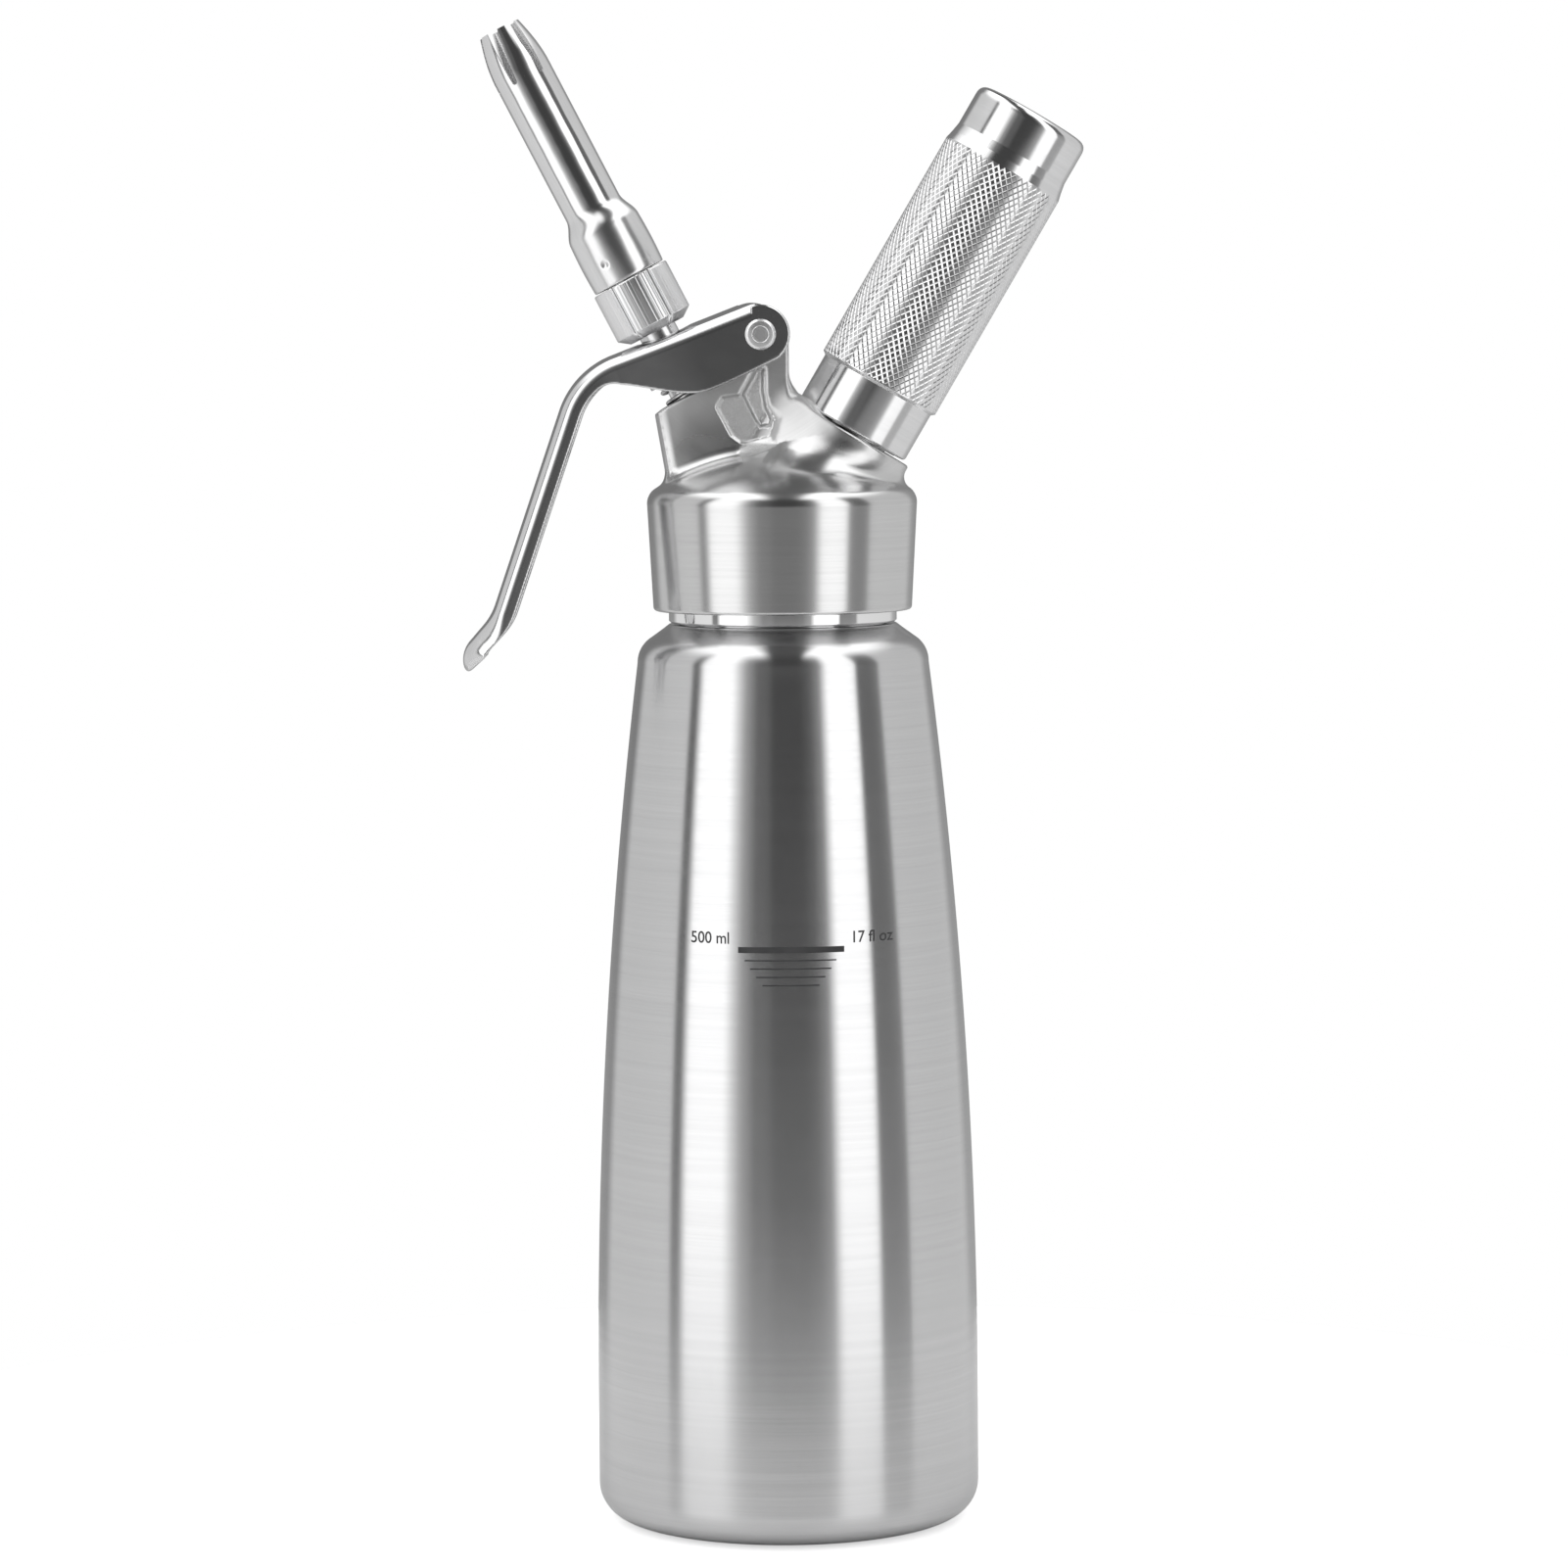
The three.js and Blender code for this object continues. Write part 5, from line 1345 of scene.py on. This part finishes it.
# what each piece rides on, the CAD node it stands for, its slot and its material
pieces = [
    (bottleBody, "bottle", "bottle", "brushed", "bottleSteel"),
    (neckRing, "bottle", "neck_ring", "polished", "ringSteel"),
    (headGasket, "head_lift", "head_gasket", "red_silicone", "redSilicone"),
    (headCasting, "head", "head_body", "cast", "headSteel"),
    (leverArm, "lever", "lever", "polished", "leverSteel"),
    (pivotScrew, "head", "pivot_screw", "turned", "screwSteel"),
    (pivotSleeve, "head", "pivot_sleeve", "turned", "turnedSteel"),
    (valveStem, "valve", "valve_stem", "turned", "turnedSteel"),
    (stemRing, "valve", "stem_o_ring", "black_rubber", "blackRubber"),
    (valveSeal, "valve", "valve_seal", "black_rubber", "blackRubber"),
    (sealNut, "valve", "seal_retainer", "turned", "turnedSteel"),
    (springCap, "valve", "spring_cap", "turned", "turnedSteel"),
    (valveSpring, "head", "valve_spring", "spring", "springSteel"),
    (nozzleAdapter, "nozzle", "nozzle_adapter", "turned", "adapterSteel"),
    (adapterSeal, "nozzle_travel", "adapter_seal", "black_rubber", "blackRubber"),
    (nozzleInsert, "nozzle", "nozzle_insert", "white_plastic", "whitePlastic"),
    (decoratorNozzle, "nozzle", "decorator_nozzle", "polished", "nozzleSteel"),
    (chargerPost, "head", "charger_post", "turned", "turnedSteel"),
    (piercingNeedle, "head", "piercing_needle", "turned", "turnedSteel"),
    (chargerSeal, "head", "charger_seal", "black_rubber", "blackRubber"),
    (checkDisc, "head", "check_valve_disc", "black_rubber", "blackRubber"),
    (checkValveNut, "head", "check_valve_nut", "turned", "turnedSteel"),
    (gasCharger, "holder_travel", "gas_charger", "brushed", "chargerSteel"),
    (chargerHolder, "holder", "charger_holder", "brushed", "holderSteel"),
]
for piece, body, cadNode, slot, _ in pieces:
    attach(piece, body)
    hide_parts(cadNode)
for piece in markPieces:
    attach(piece, "bottle")
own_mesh(valveSpring)
print("pieces ride on their bodies")


# helpers for node trees
def node(tree, kind, inputs=None, **settings):
    # inputs takes plain values, or another node's socket to wire in
    made = tree.nodes.new(kind)
    for key, value in settings.items():
        setattr(made, key, value)
    for key, value in (inputs or {}).items():
        if isinstance(value, bpy.types.NodeSocket):
            tree.links.new(value, made.inputs[key])
        else:
            made.inputs[key].default_value = value
    return made


def calc(tree, operation, *values):
    return node(tree, "ShaderNodeMath", dict(enumerate(values)), operation=operation).outputs[0]


def mapped(tree, value, low, high, start=0.0, end=1.0, smooth=False):
    inputs = {"Value": value, "From Min": low, "From Max": high, "To Min": start, "To Max": end}
    kind = "SMOOTHSTEP" if smooth else "LINEAR"
    return node(tree, "ShaderNodeMapRange", inputs, interpolation_type=kind).outputs[0]


def blend(tree, share, first, second):
    return node(tree, "ShaderNodeMix", {0: share, 6: first, 7: second}, data_type="RGBA").outputs[2]


def blendValue(tree, share, first, second):
    return node(tree, "ShaderNodeMix", {0: share, 2: first, 3: second}, data_type="FLOAT").outputs[0]


def noise(tree, where, scale, detail, rough=0.5, flat=False):
    inputs = {"Vector": where, "Scale": scale, "Detail": detail, "Roughness": rough}
    return node(tree, "ShaderNodeTexNoise", inputs, noise_dimensions="2D" if flat else "3D").outputs[0]


def bump(tree, height, strength, distance, under=None):
    inputs = {"Height": height, "Strength": strength, "Distance": distance * mm}
    if under:
        inputs["Normal"] = under
    return node(tree, "ShaderNodeBump", inputs).outputs[0]


def attribute(tree, name):
    return node(tree, "ShaderNodeAttribute", attribute_name=name).outputs["Fac"]


def use(tree, group, **inputs):
    return node(tree, "ShaderNodeGroup", inputs, node_tree=group).outputs


def ramp(tree, value, stops):
    made = node(tree, "ShaderNodeValToRGB", {0: value})
    elements = made.color_ramp.elements
    for index, (place, level) in enumerate(stops):
        element = elements[index] if index < 2 else elements.new(place)
        element.position, element.color = place, grey(level)
    return made.outputs[0]


def grey(level, blue=1.0):
    return (level, level, level * blue, 1)


def arrange(tree):
    # columns by distance from the last node, so the tree reads from left to right
    column = {item.name: 0 for item in tree.nodes}
    for _ in tree.nodes:
        for link in tree.links:
            column[link.from_node.name] = max(column[link.from_node.name], column[link.to_node.name] + 1)
    filled = {}
    for item in tree.nodes:
        place = column[item.name]
        item.location = (-220 * place, -280 * filled.get(place, 0))
        filled[place] = filled.get(place, 0) + 1


def newGroup(name, inputs, outputs, build):
    group = bpy.data.node_groups.new(name, "ShaderNodeTree")
    for label, value in inputs.items():
        kind = "NodeSocketVector" if value is None else "NodeSocketFloat"
        socket = group.interface.new_socket(label, in_out="INPUT", socket_type=kind)
        if value is not None:
            socket.default_value = value
    for label in outputs:
        group.interface.new_socket(label, in_out="OUTPUT", socket_type="NodeSocketFloat")
    results = build(group, group.nodes.new("NodeGroupInput").outputs)
    node(group, "NodeGroupOutput", dict(zip(outputs, results)))
    arrange(group)
    return group


def buildHairlines(tree, given):
    # long fine scratches along the first axis of the coordinates
    scale = node(tree, "ShaderNodeCombineXYZ", {0: given["Along"], 1: given["Across"]})
    stretched = node(tree, "ShaderNodeVectorMath", {0: given["Coordinates"], 1: scale.outputs[0]}, operation="MULTIPLY")
    fine, wide = [noise(tree, stretched.outputs[0], *layer, flat=True) for layer in ((1.0, 3.0), (0.13, 2.0))]
    half = calc(tree, "MULTIPLY", calc(tree, "ADD", fine, wide), 0.5)
    return half, mapped(tree, half, 0.3, 0.7)


def buildHaze(tree, given):
    # soft cloudy patches, as left by handling and cleaning
    cloud = noise(tree, given["Coordinates"], given["Size"], 4.0, 0.6)
    dots = noise(tree, given["Coordinates"], calc(tree, "MULTIPLY", given["Size"], 40.0), 1.0)
    return mapped(tree, cloud, 0.35, 0.68, smooth=True), mapped(tree, dots, 0.68, 0.78)


def buildEdgeRubAndHighlight(tree, given):
    # brighter colour and smoother metal on sharp edges: a painted highlight along the edges, together with rubbed wear
    shape = node(tree, "ShaderNodeNewGeometry")
    return (calc(tree, "MULTIPLY", mapped(tree, shape.outputs["Pointiness"], 0.52, 0.62), given["Amount"]),)


def buildGrain(tree, given):
    # blasted or cast skin
    return (noise(tree, given["Coordinates"], given["Size"], 4.0, 0.65),)


lineInputs = {"Coordinates": None, "Across": 6000.0, "Along": 60.0}
hairlines = newGroup("hairlines", lineInputs, ("Height", "Shade"), buildHairlines)
haze = newGroup("haze", {"Coordinates": None, "Size": 30.0}, ("Cloud", "Speckle"), buildHaze)
edgeRubAndHighlight = newGroup("edgeRubAndHighlight", {"Amount": 1.0}, ("Edge",), buildEdgeRubAndHighlight)
grain = newGroup("grain", {"Coordinates": None, "Size": 1500.0}, ("Height",), buildGrain)


# colour, roughness and its swing, hairlines across and along in lines per metre and their depth in mm
steelLooks = {
    "bottleSteel": (0.70, 0.165, 0.035, 5200, 30, 0.003),
    "headSteel": (0.70, 0.15, 0.035, 4200, 45, 0.003),
    "leverSteel": (0.78, 0.125, 0.03, 2600, 400, 0.0008),
    "ringSteel": (0.84, 0.04, 0.02, 4200, 30, 0.0006),
    "nozzleSteel": (0.82, 0.08, 0.03, 300, 2200, 0.0008),
    "adapterSteel": (0.88, 0.24, 0.12, 40, 1300, 0.09),
    "screwSteel": (0.92, 0.32, 0.10, 900, 900, 0.02),
    "turnedSteel": (0.80, 0.16, 0.06, 500, 3600, 0.003),
    "holderSteel": (0.82, 0.10, 0.04, 5600, 45, 0.002),
    "springSteel": (0.55, 0.25, 0.10, 900, 900, 0.003),
    "chargerSteel": (0.66, 0.28, 0.12, 3000, 60, 0.006),
}
# what only some finishes have: stretch of the highlights, unevenness of the sheet in mm, share of edge wear with its
# painted edge highlight, a softer stretch as first and last run with its added roughness, and how much duller the
# inside is
plainSteel = {"stretch": 0.0, "uneven": 0.0, "edges": 1.0, "coordinates": "UV", "soft": None, "inside": 0.0}
steelExtras = {
    "bottleSteel": {"stretch": 0.95},
    "leverSteel": {"uneven": 0.02, "edges": 0.0, "coordinates": "Object"},
    "ringSteel": {"uneven": 0.01},
    "nozzleSteel": {"uneven": 0.08, "edges": 0.0, "soft": (0.013, 0.019, 0.12), "inside": 0.6},
    "screwSteel": {"uneven": 0.08},
    "holderSteel": {"stretch": 0.5},
    "chargerSteel": {"stretch": 0.3},
}
# colour, roughness, grains per metre
softLooks = {
    "blackRubber": ((0.035, 0.035, 0.036), 0.5, 2500.0),
    "redSilicone": ((0.48, 0.12, 0.09), 0.42, 1800.0),
    "whitePlastic": ((0.78, 0.77, 0.73), 0.35, 1500.0),
    "markInk": ((0.035, 0.035, 0.037), 0.55, 4000.0),
}


def emptyMaterial(name):
    material = bpy.data.materials.new(name)
    material.use_nodes = True
    tree = material.node_tree
    return material, tree, tree.nodes["Principled BSDF"]


def setShader(tree, shader, **values):
    # names without spaces: BaseColor stands for Base Color
    for key, value in values.items():
        label = "".join(" " + letter if letter.isupper() else letter for letter in key).strip()
        if isinstance(value, bpy.types.NodeSocket):
            tree.links.new(value, shader.inputs[label])
        else:
            shader.inputs[label].default_value = value
    arrange(tree)


def steel(name, look):
    material, tree, shader = emptyMaterial(name)
    where = node(tree, "ShaderNodeTexCoord").outputs
    lines = use(tree, hairlines, Coordinates=where[look["coordinates"]], Across=look["across"], Along=look["along"])
    cloudy = use(tree, haze, Coordinates=where["Object"], Size=38.0)
    rubAndHighlight = use(tree, edgeRubAndHighlight, Amount=look["edges"])["Edge"]
    # base roughness, plus lines, clouds and specks, less on the rubbed edges that also carry the painted edge highlight
    mixed = calc(tree, "MULTIPLY_ADD", cloudy["Cloud"], 0.45, lines["Shade"])
    rough = calc(tree, "MULTIPLY_ADD", mixed, look["swing"], look["rough"])
    rough = calc(tree, "MULTIPLY_ADD", rubAndHighlight, -0.06, rough)
    rough = calc(tree, "MULTIPLY_ADD", cloudy["Speckle"], 0.04, rough)
    if look["soft"]:
        first, last, more = look["soft"]
        run = node(tree, "ShaderNodeSeparateXYZ", {0: where["UV"]}).outputs[1]
        rough = calc(tree, "ADD", mapped(tree, run, first, last, more, 0.0, smooth=True), rough)
    # colour: a little darker along the lines, brighter on sharp edges as a painted edge highlight with rubbed wear
    c = look["colour"]
    tone = blend(tree, lines["Shade"], grey(c, 1.005), grey(c * 0.93, 0.935 / 0.93))
    tone = blend(tree, rubAndHighlight, tone, grey(min(c * 1.16, 0.95)))
    metal = 1.0
    if look["inside"]:
        metal = calc(tree, "MULTIPLY_ADD", attribute(tree, "inside"), -look["inside"], 1.0)
    sheet = None
    if look["uneven"]:
        sheet = bump(tree, noise(tree, where["Object"], 170.0, 1.0), 1.0, look["uneven"])
    if look["stretch"]:
        tangent = node(tree, "ShaderNodeTangent", direction_type="RADIAL", axis="Z")
        tree.links.new(tangent.outputs[0], shader.inputs["Tangent"])
    setShader(tree, shader, BaseColor=tone, Metallic=metal, Roughness=rough, Anisotropic=look["stretch"],
              AnisotropicRotation=0.25, Normal=bump(tree, lines["Height"], 0.35, look["depth"], sheet))
    return material


def ringCoordinates(tree, where):
    # run round the head's axis, and rise along the collar and in over the dome
    x, y, z = node(tree, "ShaderNodeSeparateXYZ", {0: where}).outputs
    reach = calc(tree, "SQRT", calc(tree, "ADD", calc(tree, "POWER", x, 2.0), calc(tree, "POWER", y, 2.0)))
    arc = calc(tree, "MULTIPLY", calc(tree, "ARCTAN2", y, x), 0.027)
    rise = calc(tree, "SUBTRACT", z, reach)
    return node(tree, "ShaderNodeCombineXYZ", {0: arc, 1: rise}).outputs[0], z


def headSteel(name, look):
    # brushed dome and collar, satin cast tower, blasted pockets
    material, tree, shader = emptyMaterial(name)
    where = node(tree, "ShaderNodeTexCoord").outputs["Object"]
    rings, z = ringCoordinates(tree, where)
    lines = use(tree, hairlines, Coordinates=rings, Across=look["across"], Along=look["along"])
    rubAndHighlight = use(tree, edgeRubAndHighlight, Amount=attribute(tree, "edges"))["Edge"]
    cloud = use(tree, haze, Coordinates=where, Size=55.0)["Cloud"]
    skin = use(tree, grain, Coordinates=where, Size=1700.0)["Height"]
    cast = attribute(tree, "cast")
    sunk = calc(tree, "MAXIMUM", attribute(tree, "pocket"), attribute(tree, "patch"))
    # roughness: softer over the collar's edge, satin and growing duller up the tower
    domed = mapped(tree, z, 0.2095, 0.2115, look["rough"], look["rough"] + 0.05, smooth=True)
    brushed = calc(tree, "MULTIPLY_ADD", lines["Shade"], look["swing"], domed)
    upper = mapped(tree, z, 0.219, 0.231, 0.0, 2.6, smooth=True)
    satin = calc(tree, "MULTIPLY_ADD", calc(tree, "ADD", upper, cloud), 0.07, 0.22)
    rough = blendValue(tree, sunk, blendValue(tree, cast, brushed, satin), 0.42)
    c = look["colour"]
    tone = blend(tree, lines["Shade"], grey(c), grey(c * 0.93))
    # colour: darker on the blasted floors, brighter on sharp edges as a painted edge highlight with rubbed wear
    tone = blend(tree, rubAndHighlight, blend(tree, sunk, tone, grey(c * 0.9)), grey(0.84))
    # hairlines on the turned part, cast skin on the tower, deep grain in the pockets
    brushHeight = calc(tree, "MULTIPLY", lines["Height"], calc(tree, "SUBTRACT", 1.0, cast))
    castHeight = calc(tree, "MULTIPLY", noise(tree, where, 105.0, 1.0), cast)
    normal = bump(tree, brushHeight, 0.35, look["depth"])
    normal = bump(tree, castHeight, 1.0, 0.25, normal)
    normal = bump(tree, calc(tree, "MULTIPLY", skin, sunk), 0.8, 0.35, normal)
    setShader(tree, shader, BaseColor=tone, Metallic=1.0, Roughness=rough, Normal=normal)
    return material


def softMaterial(name, colour, rough, size):
    material, tree, shader = emptyMaterial(name)
    where = node(tree, "ShaderNodeTexCoord").outputs["Object"]
    skin = use(tree, grain, Coordinates=where, Size=size)["Height"]
    cloud = use(tree, haze, Coordinates=where, Size=120.0)["Cloud"]
    tone = blend(tree, cloud, (*colour, 1), (*[v * 0.8 + 0.03 for v in colour], 1))
    setShader(tree, shader, BaseColor=tone, Roughness=calc(tree, "MULTIPLY_ADD", skin, 0.15, rough),
              Normal=bump(tree, skin, 0.4, 0.03))
    return material


materials = {name: softMaterial(name, *look) for name, look in softLooks.items()}
for name, values in steelLooks.items():
    look = dict(zip(("colour", "rough", "swing", "across", "along", "depth"), values))
    look = {**look, **plainSteel, **steelExtras.get(name, {})}
    materials[name] = headSteel(name, look) if name == "headSteel" else steel(name, look)
for piece, *_, material in pieces + [(piece, "markInk") for piece in markPieces]:
    piece.data.materials.clear()
    piece.data.materials.append(materials[material])
print("materials assigned")


# floor, backdrop and light
studio = {
    "floorRadius": 250.0,
    "floorTop": -0.2,
    "floorFoot": -4.0,
    "floorColour": 0.92,
    "floorRough": 0.35,
    "floorLift": 0.6,
    # light from each direction round the object, in degrees from the camera's side, left negative
    "bands": [(-180, 0.20), (-146, 0.24), (-135, 0.68), (-77.5, 0.75), (-74.5, 0.12), (-70, 0.12), (-64.5, 1.55),
              (-40, 1.55), (-35, 0.95), (-29, 0.42), (-20, 0.13), (-12, 0.12), (-7, 0.06), (13, 0.06), (20, 0.10),
              (28, 0.28), (34.5, 1.55), (57, 1.55), (60, 0.14), (72, 0.15), (79, 0.2), (82, 0.71), (138, 0.66),
              (150, 0.36), (180, 0.20)],
    # how far the light below the horizon is washed out by the table, by height from -1 to 1
    "wash": [(-1.0, 0.7), (-0.5, 0.5), (-0.34, 0.33), (-0.14, 0.25), (-0.05, 0.07), (0.0, 0.0)],
    "lowLight": 0.80,
    # light from above, from the left at -1 to the right at 1
    "overhead": [(-1.0, 1.75), (-0.24, 1.75), (-0.13, 0.10), (0.2, 0.10), (0.26, 1.75), (1.0, 1.75)],
    "overheadFrom": 0.55,
    "overheadTo": 0.85,
}


def makeFloor(s):
    rim, top, foot = s["floorRadius"], s["floorTop"], s["floorFoot"]
    piece = turned("floor", [(0, top), (rim, top), (rim, foot), (0, foot)], segments=128)
    material, tree, shader = emptyMaterial("paleFloor")
    seen = node(tree, "ShaderNodeLightPath").outputs["Is Camera Ray"]
    setShader(tree, shader, BaseColor=grey(s["floorColour"]), Roughness=s["floorRough"], EmissionColor=grey(1),
              EmissionStrength=calc(tree, "MULTIPLY", seen, s["floorLift"]))
    piece.data.materials.append(material)


def makeWorld(s):
    world = bpy.data.worlds.new("studio")
    bpy.context.scene.world = world
    world.use_nodes = True
    tree = world.node_tree
    tree.nodes.clear()
    where = node(tree, "ShaderNodeTexCoord").outputs["Generated"]
    x, y, z = node(tree, "ShaderNodeSeparateXYZ", {0: where}).outputs

    def shareOf(value, half=0.5):
        # -1 to 1 becomes 0 to 1
        return calc(tree, "MULTIPLY_ADD", value, half, 0.5)

    # the bands are held at half strength, as a ramp ends at 1 in the editor
    angle = calc(tree, "ARCTAN2", x, calc(tree, "MULTIPLY", y, -1.0))
    bands = ramp(tree, shareOf(angle, 1 / (2 * math.pi)), [((a + 180) / 360, v / 2) for a, v in s["bands"]])
    around = node(tree, "ShaderNodeVectorMath", {0: bands, "Scale": 2.0}, operation="SCALE").outputs[0]
    low = ramp(tree, shareOf(z), [((height + 1) / 2, v) for height, v in s["wash"]])
    washed = blend(tree, low, around, grey(s["lowLight"]))
    overhead = ramp(tree, shareOf(x), [((side + 1) / 2, v) for side, v in s["overhead"]])
    high = mapped(tree, z, s["overheadFrom"], s["overheadTo"], smooth=True)
    light = blend(tree, high, washed, overhead)
    seen = node(tree, "ShaderNodeLightPath").outputs["Is Camera Ray"]
    background = node(tree, "ShaderNodeBackground", {0: blend(tree, seen, light, grey(1))})
    node(tree, "ShaderNodeOutputWorld", {0: background.outputs[0]})
    arrange(tree)


makeFloor(studio)
makeWorld(studio)
bpy.context.scene.view_settings.view_transform = "Standard"
print("floor and light ready")
